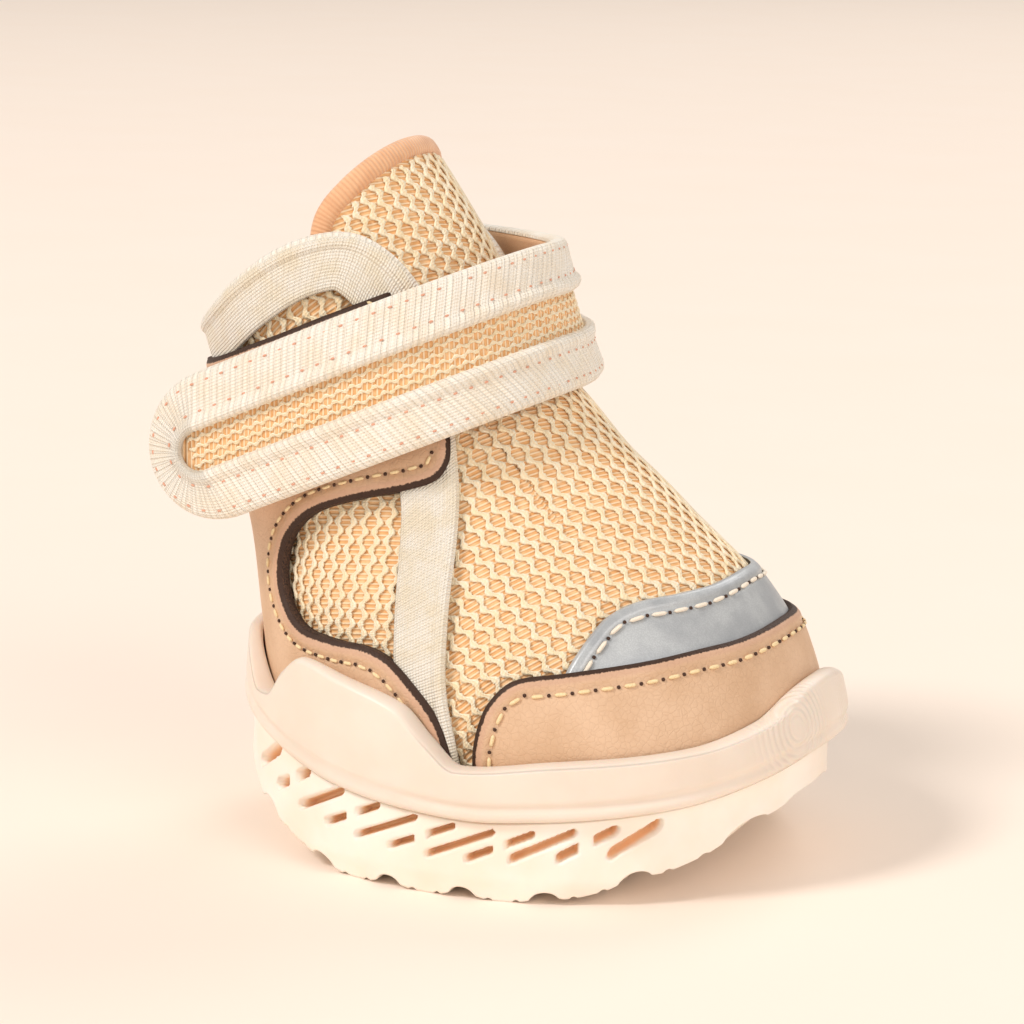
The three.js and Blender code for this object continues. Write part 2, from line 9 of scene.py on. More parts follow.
import bmesh
import bpy
import numpy as np
from mathutils import Matrix, Vector


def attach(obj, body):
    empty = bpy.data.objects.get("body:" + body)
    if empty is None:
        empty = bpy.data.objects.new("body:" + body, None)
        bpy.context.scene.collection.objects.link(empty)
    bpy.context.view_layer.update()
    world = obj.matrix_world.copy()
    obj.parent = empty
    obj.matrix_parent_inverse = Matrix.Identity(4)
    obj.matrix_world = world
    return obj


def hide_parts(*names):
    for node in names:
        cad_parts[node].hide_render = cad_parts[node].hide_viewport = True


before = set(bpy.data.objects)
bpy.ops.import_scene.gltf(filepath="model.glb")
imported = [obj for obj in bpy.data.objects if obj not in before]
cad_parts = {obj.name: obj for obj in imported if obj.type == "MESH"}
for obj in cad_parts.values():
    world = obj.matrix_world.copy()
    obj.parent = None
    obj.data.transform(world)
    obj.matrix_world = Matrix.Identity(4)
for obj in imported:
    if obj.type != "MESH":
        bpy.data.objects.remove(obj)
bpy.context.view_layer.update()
MM = 0.001

# Sizes of the boot
FIT = 0.3
FOOT_LENGTH = 60
BALL_WIDTH = 52
INSTEP_HEIGHT = 52
COLLAR_HEIGHT = 57
UPPER_WALL = 1.6
TAPE_THICKNESS = 0.6
TAPE_WIDTH = 5.9
LEATHER_THICKNESS = 1.4
CAP_THICKNESS = 0.5
TONGUE_TOP = 78.4
TONGUE_THICKNESS = 1.6
TONGUE_BINDING = 2.3
STRAP_WIDTH = 16.5
STRAP_TILT = math.radians(23.5)
STRAP_ROOT = 3
STRAP_TAIL = 21.2
STRAP_LIFT = 9.5
STRAP_CHANNEL = 4
STRAP_END_BAND = 4
STRAP_FLARE = -0.12
SOLE_LENGTH = 69.4
SOLE_WIDTH = 62
SOLE_SQUARE = 2.08
STEP_HEIGHT = 9
HEEL_SPRING = 9.8
TOE_SPRING = 12.2
WAIST_HEIGHT = 14.7
WING_HEIGHT = 23.5
TAB_HEIGHT = 23
BUMPER_HEIGHT = 23.3
FOOTBED_THICKNESS = 2
INSOLE_THICKNESS = 1.5
LUG_PITCH = 8.8
LUG_SHIFT = 2.3
LUG_GROOVE = 3.2
LUG_DEPTH = 1.4
SLOT_COUNT = 11
SLOT_PITCH = 4.45
SLOT_LENGTH = 8
SLOT_GAUGE = 0.7
SLOT_DEPTH = 2.2
SLOT_BELOW_STEP = 0.9
SLOT_RISE = 3.4
SLOT_BREAK = 1.6
SLOT_WALL = 0.22
CUP_GROOVE_DEPTH = 0.3
CUP_GROOVE_RISE = 1.5

half_foot = FOOT_LENGTH / 2
half_ball = BALL_WIDTH / 2
half_sole = SOLE_LENGTH / 2
tape_top = FIT + TAPE_THICKNESS
leather_top = FIT + LEATHER_THICKNESS
cap_top = FIT + CAP_THICKNESS
tongue_face = -(UPPER_WALL + FIT)

# Sections of the last: up, front (x, z), back (x, z), half width, power of the oval, taper
LAST = np.array([
    (0.0, 0.93, 0.1, -0.97, 0.09, 0.95, 2.2, 0.02),
    (0.1, 0.97, 0.21, -0.985, 0.19, 0.97, 2.2, 0.02),
    (0.18, 1.0, 0.31, -1.007, 0.265, 1.0, 2.15, 0.02),
    (0.28, 0.945, 0.452, -1.02, 0.377, 0.98, 2.1, -0.06),
    (0.38, 0.805, 0.588, -1.05, 0.49, 0.908, 2.05, -0.14),
    (0.49, 0.55, 0.727, -1.095, 0.607, 0.808, 2, -0.18),
    (0.6, 0.265, 0.877, -1.17, 0.726, 0.731, 2, -0.16),
    (0.7, 0.035, 1.004, -1.24, 0.832, 0.692, 2, -0.12),
    (0.79, -0.09, 1.142, -1.3, 0.904, 0.669, 2, -0.1),
    (0.89, -0.235, 1.302, -1.36, 1.0, 0.654, 2, -0.1),
    (1.0, -0.575, 1.57, -1.56, 1.45, 0.646, 2, -0.1),
])

# Sole along its length: place, heel lift, toe lift, step
SOLE = np.array([
    (-1.0, 1.0, 0, 1.83), (-0.8, 0.63, 0, 1.6), (-0.55, 0.23, 0, 1.31), (-0.37, 0, 0, 1.15),
    (-0.12, 0, 0, 1.03), (0.12, 0, 0, 0.98), (0.28, 0, 0, 1.02), (0.5, 0, 0.14, 1.09),
    (0.72, 0, 0.37, 1.2), (0.88, 0, 0.65, 1.38), (1.0, 0, 1.0, 1.6),
])

# Top edge of the cup wall: place, height in millimetres
CUP_EDGE = np.array([
    (-1.1, TAB_HEIGHT), (-0.93, TAB_HEIGHT), (-0.86, TAB_HEIGHT * 0.92),
    (-0.76, WING_HEIGHT * 0.77), (-0.7, WING_HEIGHT * 0.78), (-0.62, WING_HEIGHT * 0.92),
    (-0.54, WING_HEIGHT), (-0.38, WING_HEIGHT * 0.96), (-0.16, WING_HEIGHT * 0.88),
    (-0.04, WAIST_HEIGHT * 1.17), (0.06, WAIST_HEIGHT), (0.35, WAIST_HEIGHT * 1.08),
    (0.75, WAIST_HEIGHT * 1.17), (0.9, WAIST_HEIGHT * 1.29), (0.98, BUMPER_HEIGHT * 0.96),
    (1.1, BUMPER_HEIGHT),
])

# Side of the sole from the floor up: height, inset and lean of the toe, in step heights
OUTSOLE_SIDE = np.array([
    (-0.1, 0.32, 0.17), (0.11, 0.25, 0.17), (0.33, 0.18, 0.17), (0.9, 0.13, 0.17), (2.2, 0.1, 0.06),
])
CUP_SIDE = np.array([
    (0.8, 0.056, 0.1), (1.2, 0.011, 0.05), (1.7, 0, 0.01), (2.2, 0.028, 0.09), (2.6, 0.06, 0.24),
    (3.1, 0.11, 0.46),
])

# Side views of the sewn pieces, as shares of half the foot length and of the height in use
QUARTER_FRONT = [
    (0.05, 0.16), (0.02, 0.27), (-0.03, 0.37), (-0.06, 0.49), (-0.1, 0.67), (-0.14, 0.765),
    (-0.235, 0.92),
]
COLLAR_LINE = [
    (-0.235, 0.92), (-0.32, 1.045), (-0.39, 1.115), (-0.49, 1.17), (-0.6, 1.2), (-0.72, 1.197),
    (-0.87, 1.165), (-1.04, 1.103), (-1.21, 1.03), (-1.36, 0.99), (-1.6, 0.97),
]
COUNTER_FRONT = [
    (0.04, 0.2), (0.017, 0.247), (-0.037, 0.319), (-0.123, 0.374), (-0.237, 0.425), (-0.35, 0.446),
    (-0.49, 0.449), (-0.647, 0.46), (-0.737, 0.502), (-0.767, 0.56), (-0.733, 0.625),
    (-0.633, 0.677), (-0.47, 0.709), (-0.3, 0.73), (-0.207, 0.749), (-0.177, 0.782), (-0.19, 0.82),
]
COUNTER_TOP = [(-0.463, 1.096), (-0.68, 1.047), (-0.877, 1.002), (-1.19, 0.942), (-1.6, 0.9)]
MUDGUARD_EDGE = [
    (0.1, 0.2), (0.087, 0.288), (0.103, 0.36), (0.137, 0.41), (0.213, 0.45), (0.38, 0.465),
    (0.607, 0.483), (0.747, 0.498), (0.84, 0.507), (0.9, 0.525), (0.925, 0.56), (1.1, 0.76),
]
CAP_EDGE = [
    (0.35, 0.41), (0.377, 0.475), (0.42, 0.533), (0.463, 0.572), (0.543, 0.596), (0.653, 0.605),
    (0.735, 0.615), (0.775, 0.64), (0.9, 0.76),
]
CAP_FOOT = [(0.35, 0.41), (0.6, 0.44), (1.1, 0.5)]
TONGUE_EDGE = [
    (-0.3, 0.45), (-0.5, 0.6), (-0.66, 0.74), (-0.742, 0.82), (-0.758, 0.868), (-0.745, 0.9),
    (-0.712, 0.926), (-0.665, 0.951), (-0.615, 0.976), (-0.567, 0.999), (-0.5, 1.03),
    (-0.42, 1.066),
]
STRAP_HOME = (-0.623 * half_foot, 0.891 * COLLAR_HEIGHT)


# Curves


def smooth(table, column, at):
    """Monotone cubic through a table's rows: Hermite pieces whose slope at a knot is the
    harmonic mean of the rises beside it, and zero where they change sign."""
    knots, values = table[:, 0], table[:, column]
    rise = np.diff(values) / np.diff(knots)
    product = rise[:-1] * rise[1:]
    total = np.where(product > 0, rise[:-1] + rise[1:], 1)
    slope = np.concatenate([rise[:1], np.where(product > 0, 2 * product / total, 0), rise[-1:]])
    at = np.asarray(at, float)
    i = np.clip(np.searchsorted(knots, at, side="left") - 1, 0, len(knots) - 2)
    span = knots[i + 1] - knots[i]
    u = np.clip((at - knots[i]) / span, 0, 1)
    v, w = u ** 2, u ** 3
    return (values[i] * (2 * w - 3 * v + 1) + span * slope[i] * (w - 2 * v + u)
            + values[i + 1] * (3 * v - 2 * w) + span * slope[i + 1] * (w - v))


def through(pairs, along_unit, up_unit, steps=12):
    """Catmull-Rom curve through [along, up] pairs, in millimetres."""
    p = np.array(pairs, float) * (along_unit, up_unit)
    q = np.concatenate([p[:1], p, p[-1:]])
    t = np.linspace(0, 1, steps, endpoint=False)[:, None]
    a, b, c, d = (q[k:len(q) - 3 + k, None] for k in range(4))
    rise, fall = (c - a) / 2, (d - b) / 2
    points = ((2 * b - 2 * c + rise + fall) * t ** 3
              + (3 * c - 3 * b - 2 * rise - fall) * t ** 2 + rise * t + b)
    return np.concatenate([points.reshape(-1, 2), p[-1:]])


def length_along(points):
    """Distance along a polyline at each of its points."""
    return np.concatenate([[0], np.cumsum(np.linalg.norm(np.diff(points, axis=0), axis=1))])


def read(at, knots, table):
    """Each column of a table read by straight lines at places between its knots."""
    return np.stack([np.interp(at, knots, column) for column in table.T], -1)


def resampled(points, count):
    """The polyline at evenly spaced distances."""
    run = length_along(points)
    return read(np.linspace(0, run[-1], count), run, points)


def beside(points, distance):
    """Each point of a side view line moved to the line's left by a distance."""
    run = np.gradient(points, axis=0)
    run /= np.linalg.norm(run, axis=1, keepdims=True) + 1e-9
    return points + distance * np.stack([-run[:, 1], run[:, 0]], -1)


# The last

UPS = np.linspace(0, 1, 1001)
SECTIONS = np.stack([
    smooth(LAST, 1, UPS) * half_foot, smooth(LAST, 2, UPS) * INSTEP_HEIGHT,
    smooth(LAST, 3, UPS) * half_foot, smooth(LAST, 4, UPS) * COLLAR_HEIGHT,
    smooth(LAST, 5, UPS) * half_ball, smooth(LAST, 6, UPS), smooth(LAST, 7, UPS),
])


def section(up):
    """Front and back point, half width, power and taper of the section at a share of the height."""
    return [np.interp(up, UPS, column) for column in SECTIONS]


def signed_power(value, power):
    """The size of a value to a power, with the value's sign."""
    return np.sign(value) * np.abs(value) ** power


def last_surface(up, angle):
    """Point of the last: the section's oval, from angle 0 at the toe line to half a turn at the
    heel line."""
    front_x, front_z, back_x, back_z, half, square, taper = section(up)
    forward = signed_power(np.cos(angle), 2 / square)
    sideways = signed_power(np.sin(angle), 2 / square)
    share = (1 + forward) / 2
    return np.stack([
        back_x + (front_x - back_x) * share,
        sideways * half * (1 + taper * forward),
        back_z + (front_z - back_z) * share,
    ], -1)


def last_normal(up, angle):
    """Outward normal of the last, from small steps along and round it."""
    step = 0.004
    low, high = np.maximum(up - step, 0), np.minimum(up + step, 1)
    rise = last_surface(high, angle) - last_surface(low, angle)
    around = last_surface(up, angle + step) - last_surface(up, angle - step)
    out = np.cross(around, rise)
    return out / (np.linalg.norm(out, axis=-1, keepdims=True) + 1e-12)


def on_last(up, angle, offset):
    """Point of the last moved out along its normal by an offset."""
    return last_surface(up, angle) + last_normal(up, angle) * np.asarray(offset, float)[..., None]


def locate(side):
    """(up, angle) on the last of side view points: the section whose line passes through the
    point is found by halving, and the place along that line gives the angle."""
    x, z = side[..., 0], side[..., 1]
    low, high = np.zeros_like(x), np.ones_like(x)
    for _ in range(30):
        middle = (low + high) / 2
        front_x, front_z, back_x, back_z = section(middle)[:4]
        above = (front_x - back_x) * (z - back_z) - (front_z - back_z) * (x - back_x) > 0
        low, high = np.where(above, middle, low), np.where(above, high, middle)
    front_x, front_z, back_x, back_z, half, square, taper = section(low)
    forward = np.clip(2 * (x - back_x) / (front_x - back_x) - 1, -1, 1)
    return low, np.arccos(signed_power(forward, square / 2))


def half_width(x, z):
    """Half the last's width at side view places."""
    up, angle = locate(np.stack([np.asarray(x, float), np.asarray(z, float)], -1))
    return last_surface(up, angle)[..., 1]


def line_on_last(line, offset):
    """Points over a side view line at an offset from the last, and the normals there."""
    up, angle = locate(line)
    return on_last(up, angle, offset), last_normal(up, angle)


def located_to(line, end):
    """(up, angle) rows along a side view line, cut where it meets the toe line (end 0) or the
    heel line (end pi)."""
    up, angle = locate(line)
    stop = int(np.argmax(np.abs(angle - end) < 1e-3)) + 1
    return np.stack([up[:stop], np.append(angle[:stop - 1], end)], -1)


def rows_at(at, table):
    """Rows of a table at places counted in rows, also between two."""
    return read(at, np.arange(len(table)), table)


CLOTH_ROWS, CLOTH_STEPS, CLOTH_ROUNDS = 160, 241, 400


class Cloth:
    """Flat coordinates of a cloth on the last, in millimetres. Planes square to a direction in
    the side view cut the last: t is the distance along that direction, and s the length round
    the cut from the toe line, positive on the left. With an anchor, s is counted on the left
    side alone, from the place at that x."""

    def __init__(self, lean, low, high, anchor=None):
        self.way = np.array([-math.cos(lean), 0, math.sin(lean)])
        self.ts = np.linspace(low, high, CLOTH_ROWS)
        angle = np.broadcast_to(np.linspace(0, np.pi, CLOTH_STEPS), (CLOTH_ROWS, CLOTH_STEPS))
        least, most = np.zeros(angle.shape), np.ones(angle.shape)
        for _ in range(24):
            middle = (least + most) / 2
            above = last_surface(middle, angle) @ self.way > self.ts[:, None]
            least, most = np.where(above, least, middle), np.where(above, middle, most)
        points = last_surface(least, angle)
        run = np.cumsum(np.linalg.norm(np.diff(points, axis=1), axis=2), axis=1)
        run = np.concatenate([np.zeros((CLOTH_ROWS, 1)), run], 1)
        self.rounds = np.linspace(0, run.max(), CLOTH_ROUNDS)
        self.ups = np.stack([np.interp(self.rounds, r, u) for r, u in zip(run, least)])
        self.angles = np.stack([np.interp(self.rounds, r, a) for r, a in zip(run, angle)])
        self.start = np.zeros(CLOTH_ROWS)
        if anchor is not None:
            self.start = np.array([np.interp(-anchor, -x, r) for x, r in zip(points[..., 0], run)])
        self.half = run[:, -1]

    def place(self, around, t):
        """(up, angle) of cloth coordinates, and how far they run past the heel line."""
        i_at = np.clip((t - self.ts[0]) / (self.ts[1] - self.ts[0]), 0, len(self.ts) - 1.001)
        sign = np.where(self.start.any(), 1, np.sign(around))
        around = np.where(self.start.any(), around, np.abs(around))
        around = np.interp(t, self.ts, self.start) + around
        j_at = np.clip(around / self.rounds[1], 0, len(self.rounds) - 1.001)
        i, j = i_at.astype(int), j_at.astype(int)
        fi, fj = i_at - i, j_at - j
        up, angle = (((1 - fi) * ((1 - fj) * table[i, j] + fj * table[i, j + 1])
                      + fi * ((1 - fj) * table[i + 1, j] + fj * table[i + 1, j + 1]))
                     for table in (self.ups, self.angles))
        return up, sign * angle, around - np.interp(t, self.ts, self.half)


# Meshes


def grid_faces(rows, columns, wrap=False, start=0):
    """Quads of a grid of points, row by row, closed round its columns if wrap is set."""
    index = np.arange(rows * columns).reshape(rows, columns) + start
    if wrap:
        index = np.concatenate([index, index[:, :1]], 1)
    corners = [index[:-1, :-1], index[:-1, 1:], index[1:, 1:], index[1:, :-1]]
    return np.stack(corners, -1).reshape(-1, 4)


def new_piece(name, points, faces, finishes, fields=None, first=None, outward=True):
    """Mesh object from points in millimetres and quads, with its point attributes, welded and
    turned outwards. Its faces from number `first` on take the last finish."""
    mesh = bpy.data.meshes.new(name)
    mesh.vertices.add(len(points))
    mesh.vertices.foreach_set("co", (points * MM).astype(np.float32).ravel())
    mesh.loops.add(faces.size)
    mesh.loops.foreach_set("vertex_index", faces.astype(np.int32).ravel())
    mesh.polygons.add(len(faces))
    starts = np.arange(0, faces.size, faces.shape[1], dtype=np.int32)
    mesh.polygons.foreach_set("loop_start", starts)
    mesh.update(calc_edges=True)
    for key, values in (fields or {}).items():
        kind, slot = ("FLOAT_VECTOR", "vector") if values.ndim == 2 else ("FLOAT", "value")
        if values.ndim == 2:
            values = np.concatenate([values, np.zeros((len(values), 3 - values.shape[1]))], 1)
        marks = mesh.attributes.new(key, kind, "POINT").data
        marks.foreach_set(slot, values.astype(np.float32).ravel())
    mesh.polygons.foreach_set("use_smooth", np.ones(len(faces), bool))
    for finish in finishes:
        mesh.materials.append(finish)
    if first is not None:
        worn = np.where(np.arange(len(faces)) < first, 0, len(finishes) - 1)
        mesh.polygons.foreach_set("material_index", worn.astype(np.int32))
    work = bmesh.new()
    work.from_mesh(mesh)
    bmesh.ops.remove_doubles(work, verts=work.verts, dist=1e-6)
    bmesh.ops.dissolve_degenerate(work, edges=work.edges, dist=1e-7)
    if outward:
        bmesh.ops.recalc_face_normals(work, faces=work.faces)
    work.to_mesh(mesh)
    work.free()
    piece = bpy.data.objects.new(name, mesh)
    bpy.context.scene.collection.objects.link(piece)
    return piece


def mirrored(path):
    """Points or directions on the other side of the boot."""
    return path * (1, -1, 1)


def joined(path, shared=0):
    """A left side path and its mirror image as one, over the toe or heel line."""
    return np.concatenate([mirrored(path), path[::-1][shared:]])


def whole(grid, at_heel):
    """A left half grid and its mirror image over Y as one grid, joined at the heel or toe line."""
    mirror = grid[:, ::-1] * np.array([1, -1, 1][:grid.shape[2]])
    return np.concatenate([grid, mirror[:, 1:]] if at_heel else [mirror[:, :-1], grid], 1)


def nearest(points, line):
    """Distance from each point to the closest of a line's points."""
    flat = points.reshape(-1, 3)
    best = np.full(len(flat), np.inf)
    for k in range(0, len(line), 40):
        part = line[k:k + 40]
        best = np.minimum(best, np.linalg.norm(flat[:, None] - part[None], axis=2).min(1))
    return best.reshape(points.shape[:-1])


def shell(outer, inner, wrap=False):
    """Closed shell between two grids with the same columns, as points and faces."""
    rows, columns = outer.shape[:2]
    inner_rows = inner.shape[0]
    start = rows * columns
    points = np.concatenate([outer.reshape(-1, 3), inner.reshape(-1, 3)])
    out = np.arange(start).reshape(rows, columns)
    into = np.arange(inner_rows * columns).reshape(inner_rows, columns) + start
    faces = [grid_faces(rows, columns, wrap), grid_faces(inner_rows, columns, wrap, start)[:, ::-1]]
    for a, b in ((out[0], into[0]), (into[-1], out[-1])):
        if wrap:
            a, b = np.append(a, a[0]), np.append(b, b[0])
        faces.append(np.stack([a[1:], a[:-1], b[:-1], b[1:]], -1))
    if not wrap:
        for a, b in ((into[:, 0], out[:, 0]), (out[:, -1], into[:, -1])):
            assert len(a) == len(b), "the two grids need the same rows"
            faces.append(np.stack([a[1:], a[:-1], b[:-1], b[1:]], -1))
    return points, np.concatenate(faces)


# Shaders


class Value:
    """A shader socket that takes part in Python arithmetic by adding Math nodes."""

    def __init__(self, finish, socket):
        self.finish, self.socket = finish, socket

    def __add__(self, other):
        return self.finish.math("ADD", self, other)

    def __radd__(self, other):
        return self.finish.math("ADD", other, self)

    def __sub__(self, other):
        return self.finish.math("SUBTRACT", self, other)

    def __rsub__(self, other):
        return self.finish.math("SUBTRACT", other, self)

    def __mul__(self, other):
        return self.finish.math("MULTIPLY", self, other)

    def __rmul__(self, other):
        return self.finish.math("MULTIPLY", other, self)

    def between(self, low, high):
        """Smooth step from 0 at low to 1 at high; low may be the larger."""
        if low > high:
            return 1 - self.between(high, low)
        return self.finish.node("ShaderNodeMapRange", {"interpolation_type": "SMOOTHSTEP"},
                                {"Value": self, "From Min": low, "From Max": high})["Result"]


class Node:
    """A shader node whose outputs are read by name or number."""

    def __init__(self, finish, made):
        self.finish, self.made = finish, made

    def __getitem__(self, key):
        return Value(self.finish, self.made.outputs[key])


class Finish:
    """A material in the making: every node is added here, settings first, then its inputs."""

    def __init__(self, name):
        self.material = bpy.data.materials.new(name)
        self.material.use_nodes = True
        self.tree = self.material.node_tree
        self.tree.nodes.clear()

    def node(self, kind, settings=None, inputs=None):
        made = self.tree.nodes.new(kind)
        for key, value in (settings or {}).items():
            setattr(made, key, value)
        for key, value in (inputs or {}).items():
            self.plug(made.inputs[key], value)
        return Node(self, made)

    def plug(self, socket, value):
        if isinstance(value, Value):
            self.tree.links.new(value.socket, socket)
        elif isinstance(value, tuple) and len(value) == 3 and socket.type == "RGBA":
            socket.default_value = (*value, 1)
        else:
            socket.default_value = value

    def math(self, operation, *values):
        inputs = dict(enumerate(values))
        return self.node("ShaderNodeMath", {"operation": operation}, inputs)["Value"]

    def mix(self, share, first, second):
        made = self.node("ShaderNodeMix", {"data_type": "RGBA"}).made
        self.plug(made.inputs[0], share)
        self.plug(made.inputs[6], first)
        self.plug(made.inputs[7], second)
        return Value(self, made.outputs[2])

    def place(self):
        """Object coordinates in millimetres."""
        where = self.node("ShaderNodeTexCoord")["Object"]
        inputs = {0: where, "Scale": 1 / MM}
        return self.node("ShaderNodeVectorMath", {"operation": "SCALE"}, inputs)["Vector"]

    def field(self, name):
        return self.node("ShaderNodeAttribute", {"attribute_name": name})

    def parts(self, vector):
        made = self.node("ShaderNodeSeparateXYZ", None, {0: vector})
        return made["X"], made["Y"], made["Z"]

    def noise(self, vector, scale, detail=3.0, roughness=0.5):
        inputs = {"Vector": vector, "Scale": scale, "Detail": detail, "Roughness": roughness}
        return self.node("ShaderNodeTexNoise", None, inputs)["Fac"]

    def cells(self, vector, scale, feature="F1"):
        inputs = {"Vector": vector, "Scale": scale}
        return self.node("ShaderNodeTexVoronoi", {"feature": feature}, inputs)["Distance"]

    def bump(self, height, distance, strength=1.0):
        inputs = {"Height": height, "Distance": distance * MM, "Strength": strength}
        return self.node("ShaderNodeBump", None, inputs)["Normal"]

    def surface(self, **sockets):
        """Principled surface; a socket name's underscores stand for spaces."""
        inputs = {key.replace("_", " "): value for key, value in sockets.items()}
        shader = self.node("ShaderNodeBsdfPrincipled", None, inputs)
        self.node("ShaderNodeOutputMaterial", None, {"Surface": shader["BSDF"]})
        return self.material


def shade(red, green, blue):
    """Linear colour from an sRGB one written as 0 to 255."""
    return tuple(((v / 255 + 0.055) / 1.055) ** 2.4 for v in (red, green, blue))


def backing_finish():
    """Peach cloth under the net: fine slanted knit rows, paler on their crests as painted highlight.
    """
    f = Finish("mesh_backing")
    u, v, _ = f.parts(f.field("cloth")["Vector"])
    rows = f.math("SINE", (u * 0.35 + v) * 11)
    uneven = f.noise(f.place(), 0.9, 3)
    tone = f.mix(uneven.between(0.35, 0.7), shade(238, 180, 120), shade(250, 205, 154))
    # Painted highlight: the knit rows' crests are coloured paler.
    lit = f.mix(rows.between(0.0, 1.0) * 0.8, tone, shade(255, 236, 204))
    return f.surface(Base_Color=lit, Roughness=0.85, Normal=f.bump(rows, 0.12, 0.6))


def net_finish():
    """Cream yellow net strand: two threads side by side with a fine twist, painted shade in the
    groove and twist.
    """
    f = Finish("net_thread")
    along, around, _ = f.parts(f.field("thread")["Vector"])
    groove = (around * around).between(0.0, 0.16)
    twist = f.math("SINE", along * 17 + around * 3)
    uneven = f.noise(f.place(), 0.5, 2)
    tone = f.mix(uneven.between(0.3, 0.7), shade(254, 236, 198), shade(255, 245, 220))
    # Painted shade: darker colour along the groove between the two threads.
    tone = f.mix(groove, f.mix(0.45, tone, shade(246, 210, 158)), tone)
    # Painted shade: darker colour in the twist's troughs.
    lit = f.mix(twist.between(-0.2, -1.0) * 0.3, tone, shade(248, 220, 174))
    height = twist * 0.35 + groove * 1.2
    return f.surface(Base_Color=lit, Roughness=0.7, Sheen_Weight=0.3,
                     Normal=f.bump(height, 0.1, 0.6))


def lining_finish():
    """Peach lining cloth, plain and soft."""
    f = Finish("lining_cloth")
    fine = f.noise(f.place(), 6.0, 2)
    broad = f.noise(f.place(), 0.25, 3)
    tone = f.mix(broad.between(0.3, 0.7), shade(228, 180, 138), shade(240, 199, 160))
    lit = f.mix(fine.between(0.35, 0.65) * 0.35, tone, shade(248, 214, 180))
    return f.surface(Base_Color=lit, Roughness=0.9, Sheen_Weight=0.3,
                     Normal=f.bump(fine, 0.1, 0.5))


def tape_finish(name, warm, ribbed):
    """Woven cream tape: a close twill, small raised cells in rows that cross at a slant; painted
    shade between.
    """
    f = Finish(name)
    u, v, _ = f.parts(f.field("weave")["Vector"])
    rise = f.math("SINE", (u + v) * 9.2)
    fall = f.math("SINE", (u - v) * 9.2)
    ribs = f.math("SINE", u * 11)
    weave = rise * fall * (1 - ribbed) + ribs * ribbed
    uneven = f.noise(f.place(), 0.35, 4)
    tone = f.mix(uneven.between(0.35, 0.68), shade(252, 246, 234), shade(*warm))
    # Painted shade: the weave's low places are coloured darker.
    lit = f.mix(weave.between(0.0, -0.8) * 0.42, tone, shade(232, 210, 178))
    return f.surface(Base_Color=lit, Roughness=0.55, Sheen_Weight=0.35,
                     Normal=f.bump(weave + uneven, 0.15, 0.8))


def knit_finish():
    """Peach edge binding: fine ribs across the band, with painted shade between them."""
    f = Finish("binding_knit")
    u, v, _ = f.parts(f.field("weave")["Vector"])
    ribs = f.math("SINE", u * 12)
    uneven = f.noise(f.place(), 0.4, 3)
    tone = f.mix(uneven.between(0.3, 0.7), shade(232, 176, 132), shade(244, 194, 150))
    # Painted shade: darker colour between the ribs.
    lit = f.mix(ribs.between(0.2, -1.0) * 0.4, tone, shade(214, 148, 108))
    return f.surface(Base_Color=lit, Roughness=0.85, Sheen_Weight=0.4,
                     Normal=f.bump(ribs, 0.07, 0.6))


def leather_finish():
    """Tan leather: small irregular pebbles, fine creases with painted shade, darker and pinker along
    the edges.
    """
    f = Finish("tan_leather")
    here = f.place()
    pebble = f.cells(here, 1.15, "SMOOTH_F1")
    cracks = f.cells(here, 1.4, "DISTANCE_TO_EDGE")
    grain = f.noise(here, 4.0, 4)
    broad = f.noise(here, 0.16, 3)
    edge = f.field("edge")["Fac"]
    tone = f.mix(broad.between(0.3, 0.7), shade(214, 177, 143), shade(227, 192, 160))
    # Painted shade: the fine creases are coloured darker.
    tone = f.mix(cracks.between(0.05, 0.0) * 0.16, tone, shade(180, 134, 96))
    tone = f.mix(grain.between(0.55, 0.75) * 0.3, tone, shade(236, 202, 168))
    ragged = edge + (grain - 0.5) * 0.35
    # A darker, pinker band along the edges, then a dark brown line at the cut edge.
    bevel = f.mix(ragged.between(1.5, 0.9) * 0.55, tone, shade(204, 160, 136))
    lit = f.mix(ragged.between(0.62, 0.48), bevel, shade(62, 40, 28))
    relief = pebble * 0.5 + grain * 0.35 + cracks.between(0.0, 0.12) * 0.25
    rough = 0.58 + (grain - 0.5) * 0.2
    return f.surface(Base_Color=lit, Roughness=rough, Specular_IOR_Level=0.35,
                     Normal=f.bump(relief, 0.16, 0.6))


def edge_finish():
    """Cut edge of the leather, dark brown and fibrous."""
    f = Finish("leather_edge")
    fibre = f.noise(f.place(), 5.0, 5, 0.7)
    lit = f.mix(fibre.between(0.35, 0.7), shade(40, 25, 18), shade(98, 68, 50))
    return f.surface(Base_Color=lit, Roughness=0.8, Normal=f.bump(fibre, 0.25, 0.8))


def film_finish():
    """Silver grey reflective film: tiny glass beads, a few rubbed spots."""
    f = Finish("reflective_film")
    here = f.place()
    glass = f.cells(here, 6.0)
    broad = f.noise(here, 0.3, 3)
    tone = f.mix(broad.between(0.3, 0.7), shade(176, 180, 184), shade(198, 202, 204))
    lit = f.mix(glass.between(0.3, 0.6) * 0.25, tone, shade(150, 154, 158))
    rough = 0.36 + (broad - 0.5) * 0.2
    return f.surface(Base_Color=lit, Metallic=0.25, Roughness=rough,
                     Normal=f.bump(glass, 0.03, 0.35))


def thread_finish(name, colour, worn):
    """Sewing thread with a fine twist."""
    f = Finish(name)
    fine = f.noise(f.place(), 7.0, 2)
    lit = f.mix(fine.between(0.35, 0.65) * 0.5, shade(*colour), shade(*worn))
    return f.surface(Base_Color=lit, Roughness=0.7, Normal=f.bump(fine, 0.05, 0.5))


